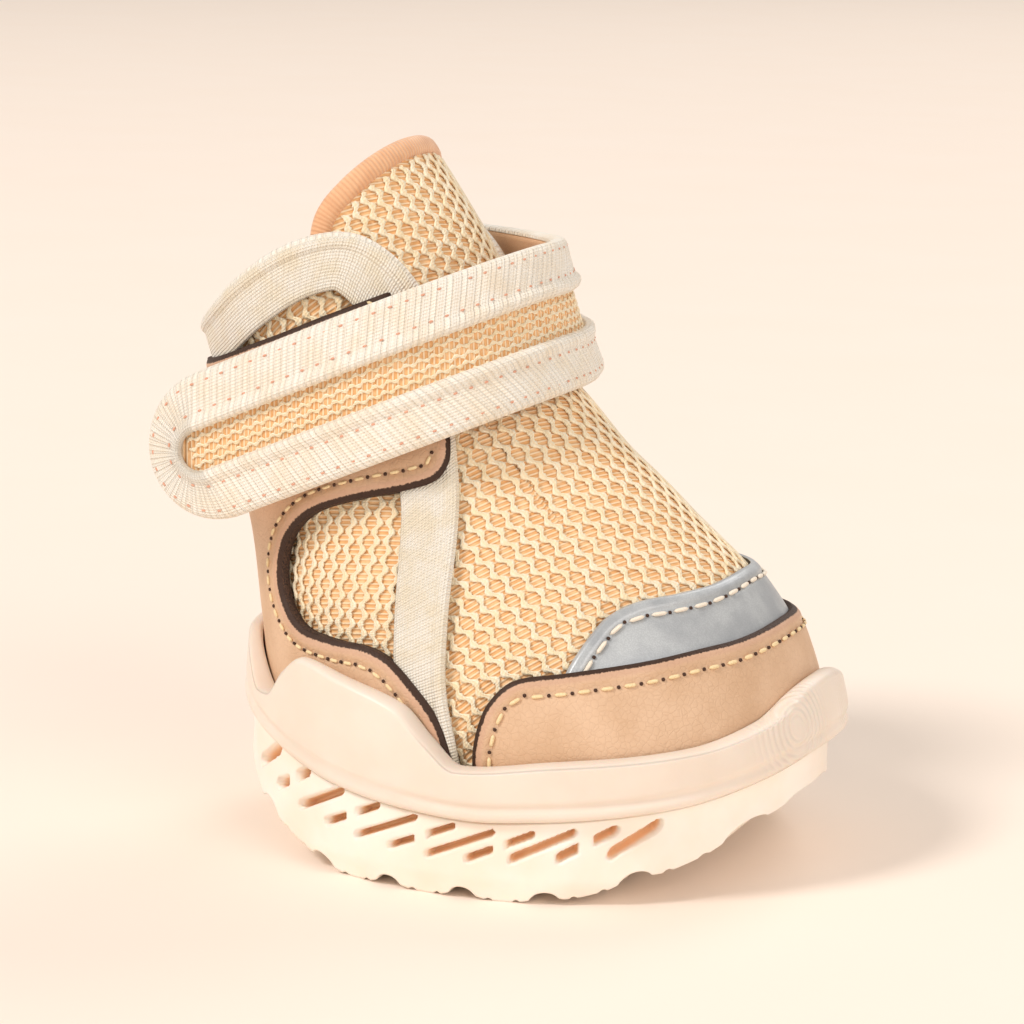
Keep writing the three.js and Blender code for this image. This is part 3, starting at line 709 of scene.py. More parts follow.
def rubber_finish(name, colour, shadow, ripple_centres=()):
    """Moulded rubber: satin skin with faint flow marks, ripple rings round given points, shade
    painted in recesses.
    """
    f = Finish(name)
    here = f.place()
    fine = f.noise(here, 3.0, 3)
    broad = f.noise(here, 0.12, 3)
    tone = f.mix(broad.between(0.3, 0.7), shade(*colour), shade(*shadow))
    height = fine * 0.12
    for centre in ripple_centres:
        reach = f.node("ShaderNodeVectorMath", {"operation": "DISTANCE"},
                       {0: here, 1: centre})["Value"]
        rings = f.math("SINE", reach * 7.5) * reach.between(8.5, 4.0) * reach.between(0.8, 1.6)
        height = height + rings * 0.9
    # Painted shade: the marked recesses are coloured a darker peach.
    recess = f.field("recess")["Fac"]
    lit = f.mix(recess.between(0.2, 0.7), tone, shade(250, 206, 164))
    rough = 0.42 + (fine - 0.5) * 0.12
    return f.surface(Base_Color=lit, Roughness=rough, Subsurface_Weight=0.08, Subsurface_Scale=0.004,
                     Normal=f.bump(height, 0.12, 0.5))


def floor_finish():
    """Warm pale floor."""
    f = Finish("pale_floor")
    fine = f.noise(f.place(), 0.02, 3)
    lit = f.mix(fine, shade(252, 237, 223), shade(253, 240, 228))
    return f.surface(Base_Color=lit, Roughness=0.75)


# Net and seams

# Soft troughs and ridges of the cloth in the side view: from (x, z) to (x, z), height, half width
CREASES = [
    (8, 45, 5, 41, -0.5, 3.5), (2, 50, -1, 46, 0.3, 3.0), (-14, 39, -24, 36, -0.45, 4.0),
    (-4, 34, -1, 26, -0.3, 2.5), (-10, 30, -20, 30, 0.25, 2.5), (-26, 50, -36, 48, -0.3, 3.0),
    (14, 30, 20, 27, -0.25, 3.0),
]


def crease(points):
    """Sum over the creases of height times a bell curve of the distance, in the side view, to
    the crease's line from (x, z) to (x, z); they fade towards the toe line."""
    side = points[..., [0, 2]]
    total = np.zeros(side.shape[:-1])
    for x0, z0, x1, z1, height, width in CREASES:
        start, run = np.array((x0, z0), float), np.array((x1 - x0, z1 - z0), float)
        share = np.clip(((side - start) @ run) / (run @ run), 0, 1)
        gap = np.linalg.norm(side - start - share[..., None] * run, axis=-1)
        total = total + height * np.exp(-(gap / width) ** 2)
    return total * np.clip(np.abs(points[..., 1]) / 10, 0.35, 1)


def zigzag(count, length, pitch, cell, step=0.26):
    """Strands of the net in the plane: each goes up, and swings left and right with the cell's
    length so that neighbours meet in turns; its half width grows where they meet."""
    at = np.arange(-length / 2, length / 2 + step, step)
    turn = np.cos(2 * np.pi * at / cell)
    swing = np.tanh(1.2 * turn) / 0.83
    number = np.arange(count)[:, None]
    sign = np.where(number % 2 == 0, 1, -1)
    across = (number - (count - 1) / 2) * pitch + sign * swing * pitch * 0.155
    wide = (0.125 + 0.2 * np.abs(turn) ** 3) * pitch
    return across, np.broadcast_to(at, across.shape), np.broadcast_to(wide, across.shape)


def tubes(name, centres, normals, wide, high, kept, finish, sides=6, named="thread"):
    """Flat threads along rows of centres: a ring of flat sides round each, shrunk to its centre
    where the thread isn't kept, and faces only beside a kept ring."""
    turns = np.linspace(0, 2 * np.pi, sides, endpoint=False) + np.pi / sides
    run = np.gradient(centres, axis=1)
    run /= np.linalg.norm(run, axis=-1, keepdims=True) + 1e-9
    side = np.cross(normals, run)
    side /= np.linalg.norm(side, axis=-1, keepdims=True) + 1e-9
    out = np.cross(run, side)
    wide = np.where(kept, wide, 0)[..., None, None]
    high = np.where(kept, high, 0)[..., None, None]
    rings = (centres[:, :, None] + side[:, :, None] * np.cos(turns)[:, None] * wide
             + out[:, :, None] * np.sin(turns)[:, None] * high)
    index = np.arange(rings[..., 0].size).reshape(rings.shape[:3])
    turn = np.roll(index, -1, axis=2)
    used = kept[:, 1:] | kept[:, :-1]
    corners = [index[:, :-1], turn[:, :-1], turn[:, 1:], index[:, 1:]]
    faces = np.stack(corners, -1)[used].reshape(-1, 4)
    along = length_along(centres[len(centres) // 2])[None, :, None]
    field = np.stack(np.broadcast_arrays(along + 0 * index, np.cos(turns)), -1).reshape(-1, 2)
    names, faces = np.unique(faces, return_inverse=True)
    return new_piece(name, rings.reshape(-1, 3)[names], faces.reshape(-1, 4), (finish,),
                     {named: field[names]}, outward=False)


# Beads: short rounded shapes repeated along seams

BEAD_ROUND = np.linspace(0, 2 * np.pi, 6, endpoint=False)
BEAD_ALONG = np.linspace(-1, 1, 6)


def beads(name, centres, runs, normals, half_long, half_wide, half_tall, finish):
    """One mesh of small capsules: rings whose radius is a root of 1 minus place to the fourth."""
    runs = runs / np.linalg.norm(runs, axis=-1, keepdims=True)
    sides = np.cross(normals, runs)
    sides /= np.linalg.norm(sides, axis=-1, keepdims=True)
    outs = np.cross(runs, sides)
    swell = np.sqrt(np.maximum(1 - BEAD_ALONG ** 4, 0))
    along = np.repeat(BEAD_ALONG, len(BEAD_ROUND)) * half_long
    flat = (swell[:, None] * np.cos(BEAD_ROUND)).ravel() * half_wide
    tall = (swell[:, None] * np.sin(BEAD_ROUND)).ravel() * half_tall
    points = (centres[:, None] + runs[:, None] * along[:, None]
              + sides[:, None] * flat[:, None] + outs[:, None] * tall[:, None]).reshape(-1, 3)
    one = grid_faces(len(BEAD_ALONG), len(BEAD_ROUND), wrap=True)[:, ::-1]
    faces = (one[None] + (np.arange(len(centres)) * len(along))[:, None, None]).reshape(-1, 4)
    return new_piece(name, points, faces, (finish,))


def seam(path, normals, pitch):
    """Places, runs and normals at an even pitch along a path."""
    run = length_along(path)
    count = max(int(run[-1] / pitch), 1)
    at = (np.arange(count) + 0.5) * run[-1] / count
    return [read(at, run, values) for values in (path, np.gradient(path, axis=0), normals)]


# Stitches: pitch, share of it that is thread, half width, half height
COUNTER_STITCH = (1.95, 0.62, 0.2, 0.17)
GUARD_STITCH = (2.45, 0.62, 0.22, 0.19)
CAP_STITCH = (2.6, 0.78, 0.24, 0.24)
NEEDLE_HOLE = (0.22, 0.2, 0.16)
SEAM_INSET = 2.0
CAP_SEAM_INSET = 1.75
SEAM_RISE = 0.02
LEATHER_WALL = 1.35


def sew(name, path, normals, stitch, thread):
    """A row of stitches along a path, with a dark bead of painted shade at a needle hole between
    each two.
    """
    pitch, share, width, height = stitch
    centres, runs, outs = seam(path, normals, pitch)
    middles = centres + outs * height * 0.4
    spots = centres + runs / np.linalg.norm(runs, axis=-1, keepdims=True) * pitch / 2
    return [beads(name, middles, runs, outs, pitch * share / 2, width, height, thread),
            beads(name + "_holes", spots, runs, outs, *NEEDLE_HOLE, needle_hole_shade)]


# Materials

backing = backing_finish()
net = net_finish()
lining = lining_finish()
collar_weave = tape_finish("collar_weave", (246, 234, 210), 0.15)
strap_weave = tape_finish("strap_weave", (249, 237, 217), 0.4)
rolled_edge = tape_finish("rolled_edge", (251, 242, 226), 0.5)
knit = knit_finish()
leather = leather_finish()
cut_edge = edge_finish()
film = film_finish()
cream_thread = thread_finish("cream_thread", (248, 226, 182), (226, 196, 140))
white_thread = thread_finish("white_thread", (250, 240, 224), (232, 214, 190))
# Painted shade: dark beads stand for the shade inside the needle holes.
needle_hole_shade = thread_finish("needle_hole_shade", (58, 34, 22), (90, 56, 36))
red_dot = thread_finish("needle_dot", (222, 158, 132), (238, 192, 164))
wall_rubber = rubber_finish("wall_rubber", (241, 227, 213), (237, 221, 205),
                            [(33.5, -9.0, 18.0), (33.5, 9.0, 18.0)])
tread_rubber = rubber_finish("tread_rubber", (255, 246, 235), (254, 238, 222))


def belongs(pieces, slot, *nodes):
    """Rides the pieces on the body and hides the imported parts they stand for; the slot is not
    used.
    """
    for piece in pieces if isinstance(pieces, list) else [pieces]:
        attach(piece, "root")
        if nodes:
            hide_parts(*nodes)


# Sole


def step_at(x):
    """Height of the step in the sole's side."""
    return smooth(SOLE, 3, x / half_sole) * STEP_HEIGHT


def tread_at(x):
    """Height of the tread with its heel and toe spring."""
    at = x / half_sole
    return smooth(SOLE, 1, at) * HEEL_SPRING + smooth(SOLE, 2, at) * TOE_SPRING


def cup_foot_at(x):
    """Underside of the cup wall."""
    return step_at(x) + FIT


def footbed_at(x):
    """Top of the footbed inside the cup wall."""
    return cup_foot_at(x) + FOOTBED_THICKNESS


def cup_edge_at(x):
    """Top edge of the cup wall."""
    return smooth(CUP_EDGE, 1, x / half_sole)


def sole_outline(angle, inset, lean):
    """Oval outline at an inset and its outward normal, in the plane."""
    back = inset + np.where(np.cos(angle) > 0, lean, 0)
    long_half = half_sole - back * STEP_HEIGHT
    wide_half = SOLE_WIDTH / 2 - inset * STEP_HEIGHT
    place = np.stack([long_half * signed_power(np.cos(angle), 2 / SOLE_SQUARE),
                      wide_half * signed_power(np.sin(angle), 2 / SOLE_SQUARE)], -1)
    power = 2 - 2 / SOLE_SQUARE
    out = np.stack([signed_power(np.cos(angle), power) / long_half,
                    signed_power(np.sin(angle), power) / wide_half], -1)
    return place, out / np.linalg.norm(out, axis=-1, keepdims=True)


def on_side(side, angle, low, high, share):
    """Points of the sole's side at a share of the height from low(x) to high(x)."""
    x = half_sole * signed_power(np.cos(angle), 2 / SOLE_SQUARE)
    for _ in range(4):
        z = low(x) * (1 - share) + high(x) * share
        step = z / STEP_HEIGHT
        place, out = sole_outline(angle, smooth(side, 1, step), smooth(side, 2, step))
        x = place[..., 0]
    return np.concatenate([place, z[..., None]], -1), out


def depth_to_last(point, out, margin):
    """Distance inwards from the sole's side to the surface a margin outside the last."""
    low, high = np.zeros(point.shape[:-1]), np.full(point.shape[:-1], 30.0)
    for _ in range(26):
        middle = (low + high) / 2
        probe = point[..., :2] - out * (middle + margin)[..., None]
        inside = np.abs(probe[..., 1]) < half_width(probe[..., 0], point[..., 2]) - 1e-6
        low, high = np.where(inside, low, middle), np.where(inside, middle, high)
    return low


def even_angles(count):
    """Angles of the oval at even distances round it."""
    fine = np.linspace(0, 2 * np.pi, 4001)
    place, _ = sole_outline(fine, 0, 0)
    run = length_along(place)
    return np.interp(np.linspace(0, run[-1], count, endpoint=False), run, fine)


def disc(edge, height, shrink):
    """Rings inside an outline, shrunk by the given shares, at a height that depends on x."""
    flat = edge[None, :, :2] * np.asarray(shrink)[:, None, None]
    return np.concatenate([flat, height(flat[..., 0])[..., None]], -1)


def round_piece(name, grid, finish, slot, node, fields=None):
    """Closed piece from rings one above another, in place of its node."""
    piece = new_piece(name, grid.reshape(-1, 3), grid_faces(*grid.shape[:2], wrap=True),
                      (finish,), fields)
    belongs(piece, slot, node)
    return piece


def make_cup():
    """Cup wall: at each angle one closed section, from the middle of its underside out, up the
    side, round the rim, down the inner wall and back to the middle over the footbed. A groove
    with a bell curve's section follows the step under the wings."""
    angle = even_angles(420)[None, :]
    shares = np.concatenate([[0, 0.03, 0.08], np.linspace(0.14, 0.9, 20), [0.95]])[:, None]
    side, out = on_side(CUP_SIDE, angle + 0 * shares, cup_foot_at, cup_edge_at, shares)
    side[:1, :, :2] -= out[:1] * 0.35
    side[1:2, :, :2] -= out[1:2] * 0.12
    lift = side[..., 2] - cup_foot_at(side[..., 0])
    groove = CUP_GROOVE_DEPTH * np.exp(-((lift - CUP_GROOVE_RISE) / 0.45) ** 2)
    side[..., :2] -= out * groove[..., None]
    top, top_out = side[-1], out[-1]
    rim_z = cup_edge_at(top[:, 0])
    rim_point = np.concatenate([top[:, :2], rim_z[:, None]], -1)
    half = np.clip(depth_to_last(rim_point, top_out, leather_top + 0.25) / 2, 0.4, None)
    turn = np.linspace(0.12, np.pi - 0.12, 9)[:, None]
    inward = half * (1 - np.cos(turn))
    rim_low = top[:, 2] - 0.1
    rim = np.stack([
        top[:, 0] - top_out[:, 0] * inward, top[:, 1] - top_out[:, 1] * inward,
        rim_low + (rim_z - rim_low) * np.sin(turn) ** 0.8,
    ], -1)
    down = np.linspace(0.97, 0, 10)[:, None]
    inner, inner_out = on_side(CUP_SIDE, angle + 0 * down, footbed_at, cup_edge_at, down)
    inner[..., 2] = np.minimum(inner[..., 2], rim[-1, :, 2])
    depth = np.maximum(depth_to_last(inner, inner_out, leather_top + 0.25), 0.3)
    inner[..., :2] -= inner_out * depth[..., None]
    shrink = [0.8, 0.5, 0.2, 0.0]
    under = disc(side[0], cup_foot_at, shrink)[::-1]
    bed = disc(inner[-1], footbed_at, shrink)
    grid = np.concatenate([under, side, rim, inner, bed])
    round_piece("cup_wall", grid, wall_rubber, "wall_rubber", "midsole_cup")


def slot_depth(x, z):
    """Depth of the slanted slots at places of the side: full inside each slot's outline."""
    depth = np.zeros_like(x)
    for i in range(SLOT_COUNT):
        place = 2 * i / (SLOT_COUNT - 1) - 1
        middle = (i - SLOT_COUNT / 2) * SLOT_PITCH
        length = SLOT_LENGTH * (1 - 0.4 * place ** 2)
        gauge = SLOT_GAUGE * (1 + 0.9 * place ** 2)
        share = (x - middle) / length + 0.5
        line = step_at(np.array([middle]))[0] - SLOT_BELOW_STEP - SLOT_RISE * (1 - share)
        past_end = np.maximum(np.abs(x - middle) - length / 2 + gauge / 2, 0)
        inside = np.clip((gauge / 2 - np.hypot(past_end, z - line)) / SLOT_WALL + 0.5, 0, 1)
        if i % 2:
            inside *= np.clip((np.abs(x - middle) - SLOT_BREAK / 2) / 0.25 + 0.5, 0, 1)
        depth = np.maximum(depth, inside)
    return depth


def lug_rise(x):
    """Height of the half-round grooves between the lugs, with a low tooth on each side."""
    gap = (x - LUG_SHIFT + LUG_PITCH / 2) % LUG_PITCH - LUG_PITCH / 2
    groove = LUG_DEPTH * np.sqrt(np.clip(1 - (gap / (LUG_GROOVE / 2)) ** 2, 0, 1))
    tooth = 0.35 * np.clip(1 - ((np.abs(gap) - 2.9) / 0.5) ** 2, 0, 1)
    return np.maximum(np.maximum(groove, tooth), 0.9 * np.exp(-(gap / 1.9) ** 2))


def lug_foot_at(x):
    """Underside of the lower sole."""
    return tread_at(x) + lug_rise(x)


def make_outsole():
    """Lower sole: the side as a fine grid with its slots pressed in, and the lugs underneath."""
    angle = even_angles(900)[None, :]
    shares = np.linspace(0, 1, 44)[:, None]
    side, out = on_side(OUTSOLE_SIDE, angle + 0 * shares, lug_foot_at, step_at, shares)
    x, z = side[..., 0], side[..., 2]
    lug = 0.5 + 0.5 * np.cos(2 * np.pi * (x - LUG_SHIFT) / LUG_PITCH)
    push = 0.45 * lug * np.exp(-((z - tread_at(x)) / 2.2) ** 2)
    recess = slot_depth(x, z)
    side[..., :2] += out * (push - recess * SLOT_DEPTH)[..., None]
    under = disc(side[0], lug_foot_at, [0.985, *np.linspace(0.95, 0.0, 22)])[::-1]
    over = disc(side[-1], step_at, [0.97, 0.5, 0.0])
    grid = np.concatenate([under, side, over])
    # The slots' depth also marks the painted shade in them.
    marks = np.zeros(grid.shape[:2])
    marks[len(under):-len(over)] = recess
    round_piece("tread", grid, tread_rubber, "tread_rubber", "outsole", {"recess": marks.ravel()})


def make_insole():
    """Foam bed: the outline inside the upper, with a soft crowned top and a rounded edge."""
    edge, out = on_side(CUP_SIDE, even_angles(160)[None, :], footbed_at, cup_edge_at, 0)
    edge, out = edge[0], out[0]
    edge[:, 2] = footbed_at(edge[:, 0]) + FIT + 0.7
    edge[:, :2] -= out * depth_to_last(edge, out, tongue_face - 0.1)[:, None]
    turn = np.linspace(-np.pi / 2, np.pi / 2, 7)
    half = INSOLE_THICKNESS / 2
    shrink = np.concatenate([[0, 0.4, 0.8], 0.97 + 0.03 * np.cos(turn), [0.9, 0.7, 0.4, 0]])
    height = np.concatenate([[0, 0, 0], half + half * np.sin(turn), [1.5, 1.4, 1.3, 1.3]])
    grid = disc(edge, lambda x: footbed_at(x) + FIT + height[:, None], shrink)
    piece = round_piece("foot_bed", grid, lining, "foam", "insole")


# Upper

collar_edge = through(COLLAR_LINE, half_foot, COLLAR_HEIGHT)
quarter_edge = np.concatenate([through(QUARTER_FRONT, half_foot, COLLAR_HEIGHT), collar_edge[1:]])
throat_x, throat_z = collar_edge[0]
vamp_cloth = Cloth(math.radians(47), -30, 70)
quarter_cloth = Cloth(math.radians(86), 0, 82, anchor=-12)
tongue_cloth = Cloth(math.radians(56), 25, 95)


def side_of_tape(x, z):
    """Whether places lie behind the middle of the quarter's tape."""
    middle = beside(quarter_edge, TAPE_WIDTH / 2)
    order = np.argsort(middle[:, 1], kind="stable")
    front = order[middle[order, 1] < throat_z]
    return x < np.interp(z, middle[front, 1], middle[front, 0])


def edge_height(x):
    """Height of the collar, or of the throat in front of the quarters' corner, in the side view."""
    order = np.argsort(collar_edge[:, 0])
    collar = np.interp(x, collar_edge[order, 0], collar_edge[order, 1])
    return np.where(x < throat_x, collar, throat_z + (x - throat_x) * math.tan(STRAP_TILT))


def climb(angle, height, low, high):
    """The up at which the last's surface at an angle reaches a height that depends on x."""
    low, high = np.full(angle.shape, low), np.full(angle.shape, high)
    for _ in range(26):
        middle = (low + high) / 2
        point = last_surface(middle, angle)
        above = point[..., 2] > height(point[..., 0])
        low, high = np.where(above, low, middle), np.where(above, middle, high)
    return low


# Nets: cloth, spacing of the strands, length of a cell, width of the cloth, whether behind the tape
NETS = {
    "vamp_net": (vamp_cloth, 1.75, 2.3, 150, False),
    "quarter_net": (quarter_cloth, 1.62, 1.95, 90, True),
}


def make_upper():
    """Shell of backing cloth between the footbed and the collar, and the net over it."""
    angle = np.linspace(-np.pi, np.pi, 280, endpoint=False)
    bottom = climb(angle, lambda x: footbed_at(x) + FIT, 0.0, 0.6)
    top = climb(angle, edge_height, 0.25, 1.0)

    def rows(count):
        rise = np.linspace(0, 1, count)[:, None]
        return bottom * (1 - rise) + top * rise, angle + 0 * rise

    up, around = rows(70)
    outer = on_last(up, around, -0.35 + crease(last_surface(up, around)))
    points, faces = shell(outer, on_last(*rows(14), -UPPER_WALL), wrap=True)
    behind = side_of_tape(points[:, 0], points[:, 2])
    rungs = np.where(behind, points @ quarter_cloth.way, points @ vamp_cloth.way)
    piece = new_piece("upper_cloth", points, faces, (backing, lining),
                      {"cloth": np.stack([points[:, 1], rungs], -1)}, first=69 * 280)
    belongs(piece, "air_mesh", "upper")

    for name, (cloth, pitch, cell, width, rear) in NETS.items():
        low, high = cloth.ts[0], cloth.ts[-1]
        across, along, wide = zigzag(int(width / pitch), high - low, pitch, cell)
        up, angles, past = cloth.place(across, along + (low + high) / 2)
        normals = last_normal(up, angles)
        bare = last_surface(up, angles)
        centres = bare + normals * (-0.14 + crease(bare))[..., None]
        x, z = bare[..., 0], bare[..., 2]
        kept = (past < -0.2) & (z < edge_height(x) - 0.3) & (z > footbed_at(x) + 1)
        kept &= (angles < np.pi) & (up > 0.01) & (up < 0.99)
        kept &= (side_of_tape(x, z) == rear) & shows_net(x, z)
        if rear:
            centres, normals = (np.concatenate([v, mirrored(v)]) for v in (centres, normals))
            kept, wide = np.concatenate([kept, kept]), np.concatenate([wide, wide])
        belongs(tubes(name, centres, normals, wide, 0.19, kept, net), "air_mesh", "upper")


def inside_outline(x, z, outline):
    """Whether places lie inside a closed side view, by counting the edges crossed above each."""
    flat_x, flat_z = x.ravel(), z.ravel()
    crossed = np.zeros(flat_x.shape, int)
    for (x0, z0), (x1, z1) in zip(outline, np.roll(outline, -1, axis=0)):
        spans = (x0 > flat_x) != (x1 > flat_x)
        if x0 != x1:
            crossed += spans & (z0 + (flat_x - x0) / (x1 - x0) * (z1 - z0) > flat_z)
    return (crossed % 2 == 1).reshape(x.shape)


counter_front = through(COUNTER_FRONT, half_foot, COLLAR_HEIGHT)
counter_top = through(COUNTER_TOP, half_foot, COLLAR_HEIGHT)
mudguard_edge = through(MUDGUARD_EDGE, half_foot, INSTEP_HEIGHT)
cap_edge = through(CAP_EDGE, half_foot, INSTEP_HEIGHT)


def shows_net(x, z):
    """Where the net isn't covered by leather, tape or cap, with a margin under their edges."""
    far = 60.0
    counter = np.concatenate([beside(counter_front, 1.2), beside(counter_top, 1.2),
                              [(-far, 0), (0, 0)]])
    tape = np.concatenate([beside(quarter_edge, 1.4),
                           beside(quarter_edge, TAPE_WIDTH - 1.4)[::-1]])
    guard = np.concatenate([beside(mudguard_edge, -1.2), [(far, 0), (5, 0)]])
    cap = np.concatenate([beside(cap_edge, -1.2), [(far, 20), (12, 20)]])
    covered = inside_outline(x, z, counter) | inside_outline(x, z, tape)
    return ~(covered | inside_outline(x, z, guard) | inside_outline(x, z, cap))


# Leather and film


def pulled_to_edge(up, angle, base, lines, round_over=0.8, stitch=SEAM_INSET):
    """Surface of a sewn panel: rounded over at its cut edge, with a shallow groove at its seam.
    The offset falls by a square law inside the rounding, and by a bell curve at the seam."""
    edge = nearest(on_last(up, angle, base), lines)
    near = np.clip(1 - edge / round_over, 0, 1)
    offset = base - 0.4 * near ** 2 - 0.16 * np.exp(-((edge - stitch) / 0.4) ** 2)
    offset = offset + 0.12 * np.exp(-((edge - 1.1) / 0.5) ** 2)
    return on_last(up, angle, offset), edge


def walled(name, outer, inner, field, finishes):
    """Closed wall between two grids; its rim and inside take the second finish."""
    points, faces = shell(outer, inner)
    key, values = field
    values = values.reshape(len(points) // 2, -1)
    values = np.concatenate([values, values])
    values = values[:, 0] if values.shape[1] == 1 else values
    front = (outer.shape[0] - 1) * (outer.shape[1] - 1)
    return new_piece(name, points, faces, finishes, {key: values}, first=front)


def panel(name, up, angle, base, lines, thickness, finishes, at_heel=False, **shape):
    """Both halves of a sewn panel, given the left one, with its wall and its cut rim."""
    grid, edge = pulled_to_edge(up, angle, base, lines, **shape)
    inner = on_last(up, angle, base - thickness)
    outer, inner, edge = (whole(half, at_heel) for half in (grid, inner, edge[..., None]))
    return walled(name, outer, inner, ("edge", edge), finishes)


def sew_counter(name, line):
    """Stitches along a side view line of the heel counter, on both sides of the boot."""
    path, normals = line_on_last(line, leather_top + SEAM_RISE)
    sides = {"near": (mirrored(path), mirrored(normals)), "far": (path, normals)}
    for side, (points, outs) in sides.items():
        belongs(sew(name + "_" + side, points, outs, COUNTER_STITCH, cream_thread), "tan_leather")


def make_counter():
    """Heel counter: ruled on the last from its front edge to the heel line, and swollen up to its
    top edge along the arm."""
    rows, columns = 170, 120
    front_up, front_angle = locate(resampled(counter_front, rows))
    top_line = resampled(np.concatenate([counter_front[-1:], counter_top]), 400)
    top_edge = located_to(top_line, math.pi)
    share = np.linspace(0, 1, columns) ** 1.25
    top = rows_at(share * (len(top_edge) - 1), top_edge)
    left = np.stack([front_up, front_angle], -1)
    s, t = np.linspace(0, 1, rows)[:, None, None], share[None, :, None]
    heel_foot = 0.1
    rear = int(np.argmax(front_angle))
    row = np.arange(rows)
    behind = np.where(
        row < rear, heel_foot + (front_up[rear] - heel_foot) * (row / rear) ** 2.4,
        top[-1, 0] - (top[-1, 0] - front_up[rear]) * ((rows - 1 - row) / (rows - 1 - rear)) ** 1.7,
    )
    back = np.stack([behind, np.full(rows, math.pi)], -1)
    swell = np.clip((s - 0.58) / 0.42, 0, 1) ** 1.4
    place = ((1 - t) * left[:, None] + t * back[:, None]
             + swell * (top[None] - (1 - t) * left[-1] - t * top[-1]))
    lines = np.concatenate([line_on_last(resampled(counter_front, 500), leather_top)[0],
                            on_last(*top_edge.T, leather_top)])
    belongs(panel("heel_leather", place[..., 0], place[..., 1], leather_top, lines, LEATHER_WALL,
                  (leather, cut_edge), at_heel=True), "tan_leather", "heel_counter")
    line = beside(counter_front, SEAM_INSET)
    sew_counter("counter_stitches", line[(line[:, 1] > 13) & (line[:, 1] < 0.8 * COLLAR_HEIGHT)])
    line = beside(top_line[:len(top_edge) - 2], SEAM_INSET)
    sew_counter("counter_top_stitches", line[line[:, 0] < top_line[0, 0] - 4])


def over_the_toe(line, foot_of, rows, columns):
    """(up, angle) grid from a foot line to an edge line, from the toe line to the rear end."""
    edge = located_to(resampled(line, 900), 0)
    edge = rows_at(np.linspace(len(edge) - 1, 0, columns), edge)
    foot = foot_of(edge, np.linspace(0, 1, columns)[:, None])
    rise = 1 - np.linspace(1, 0, rows)[:, None, None] ** 1.3
    place = foot[None] * (1 - rise) + edge[None] * rise
    return place[..., 0], place[..., 1], edge[::-1]


def sew_over_toe(name, edge, inset, least_z, top, stitch, thread, slot):
    """Stitches inside a side view edge, from one side over the toe line to the other."""
    line = resampled(beside(edge, -inset), 900)
    angle = locate(line)[1]
    path, normals = line_on_last(line[(angle > 1e-3) & (line[:, 1] > least_z)], top + SEAM_RISE)
    belongs(sew(name, joined(path), joined(normals), stitch, thread), slot)


def make_mudguard():
    """Mudguard: ruled on the last from under the cup wall up to its edge."""
    def foot(edge, share):
        return np.array([0.06, 0.0]) * (1 - share) + edge[-1] * share

    up, angle, edge = over_the_toe(mudguard_edge, foot, 46, 220)
    lines = resampled(on_last(*edge.T, leather_top), 700)
    belongs(panel("toe_leather", up, angle, leather_top, lines, LEATHER_WALL,
                  (leather, cut_edge)), "tan_leather", "mudguard")
    sew_over_toe("mudguard_stitches", mudguard_edge, SEAM_INSET, 14, leather_top,
                 GUARD_STITCH, cream_thread, "tan_leather")


def make_toe_cap():
    """Toe cap: ruled on the last from under the mudguard up to its edge."""
    def foot(edge, share):
        line = resampled(through(CAP_FOOT, half_foot, INSTEP_HEIGHT), 400)
        low = located_to(line, 0)
        return rows_at((1 - share[:, 0]) * (len(low) - 1), low)

    up, angle, edge = over_the_toe(cap_edge, foot, 36, 150)
    lines = resampled(on_last(*edge.T, cap_top), 500)
    belongs(panel("toe_film", up, angle, cap_top, lines, 0.45, (film,), round_over=0.5,
                  stitch=CAP_SEAM_INSET), "reflective_film", "toe_cap")
    sew_over_toe("cap_stitches", cap_edge, CAP_SEAM_INSET, 21.5, cap_top,
                 CAP_STITCH, white_thread, "reflective_film")


# Tape, tongue and strap


def make_collar_tape():
    """Tape beside the quarter's edge: a thin flat band with a rolled front edge, and a rolled
    binding over the collar's rim."""
    across = np.concatenate([np.linspace(0, 1.5, 12), np.linspace(1.8, TAPE_WIDTH, 14)])
    columns = []
    for width in across:
        column = located_to(resampled(beside(quarter_edge, width), 700), math.pi)
        columns.append(rows_at(np.linspace(0, len(column) - 1, 330), column))
    up, angle = np.moveaxis(np.stack(columns, 1), -1, 0)
    bulge = 0.32 * np.sin(np.pi * np.clip(across / 1.5, 0, 1))
    bulge -= 0.25 * np.clip(1 - across / 0.3, 0, 1) ** 2
    bulge -= 0.2 * np.clip((across - TAPE_WIDTH + 0.3) / 0.3, 0, 1) ** 2
    grid = on_last(up, angle, tape_top + bulge)
    under = on_last(up, angle, tape_top - 0.5)
    run = length_along(grid[:, 6])[:, None]
    weave = np.stack(np.broadcast_arrays(run, across), -1)
    weave = np.concatenate([weave * (-1, 1), weave[::-1][1:]])
    belongs(walled("collar_band", joined(grid, 1), joined(under, 1), ("weave", weave),
                   (collar_weave,)), "woven_tape", "collar_tape")

    up, angle = located_to(resampled(beside(collar_edge, 0.35), 500), math.pi).T
    path = joined(on_last(up, angle, -0.45), 1)
    ring = resampled(np.concatenate([path, joined(last_normal(up, angle), 1)], 1), 420)
    kept = np.ones((1, 420), bool)
    kept[:, [0, -1]] = False
    belongs(tubes("collar_roll", ring[None, :, :3], ring[None, :, 3:], 0.85, 1.42, kept,
                  rolled_edge, sides=14, named="weave"), "woven_tape", "collar_tape")


tongue_edge = through(TONGUE_EDGE, half_foot, TONGUE_TOP)


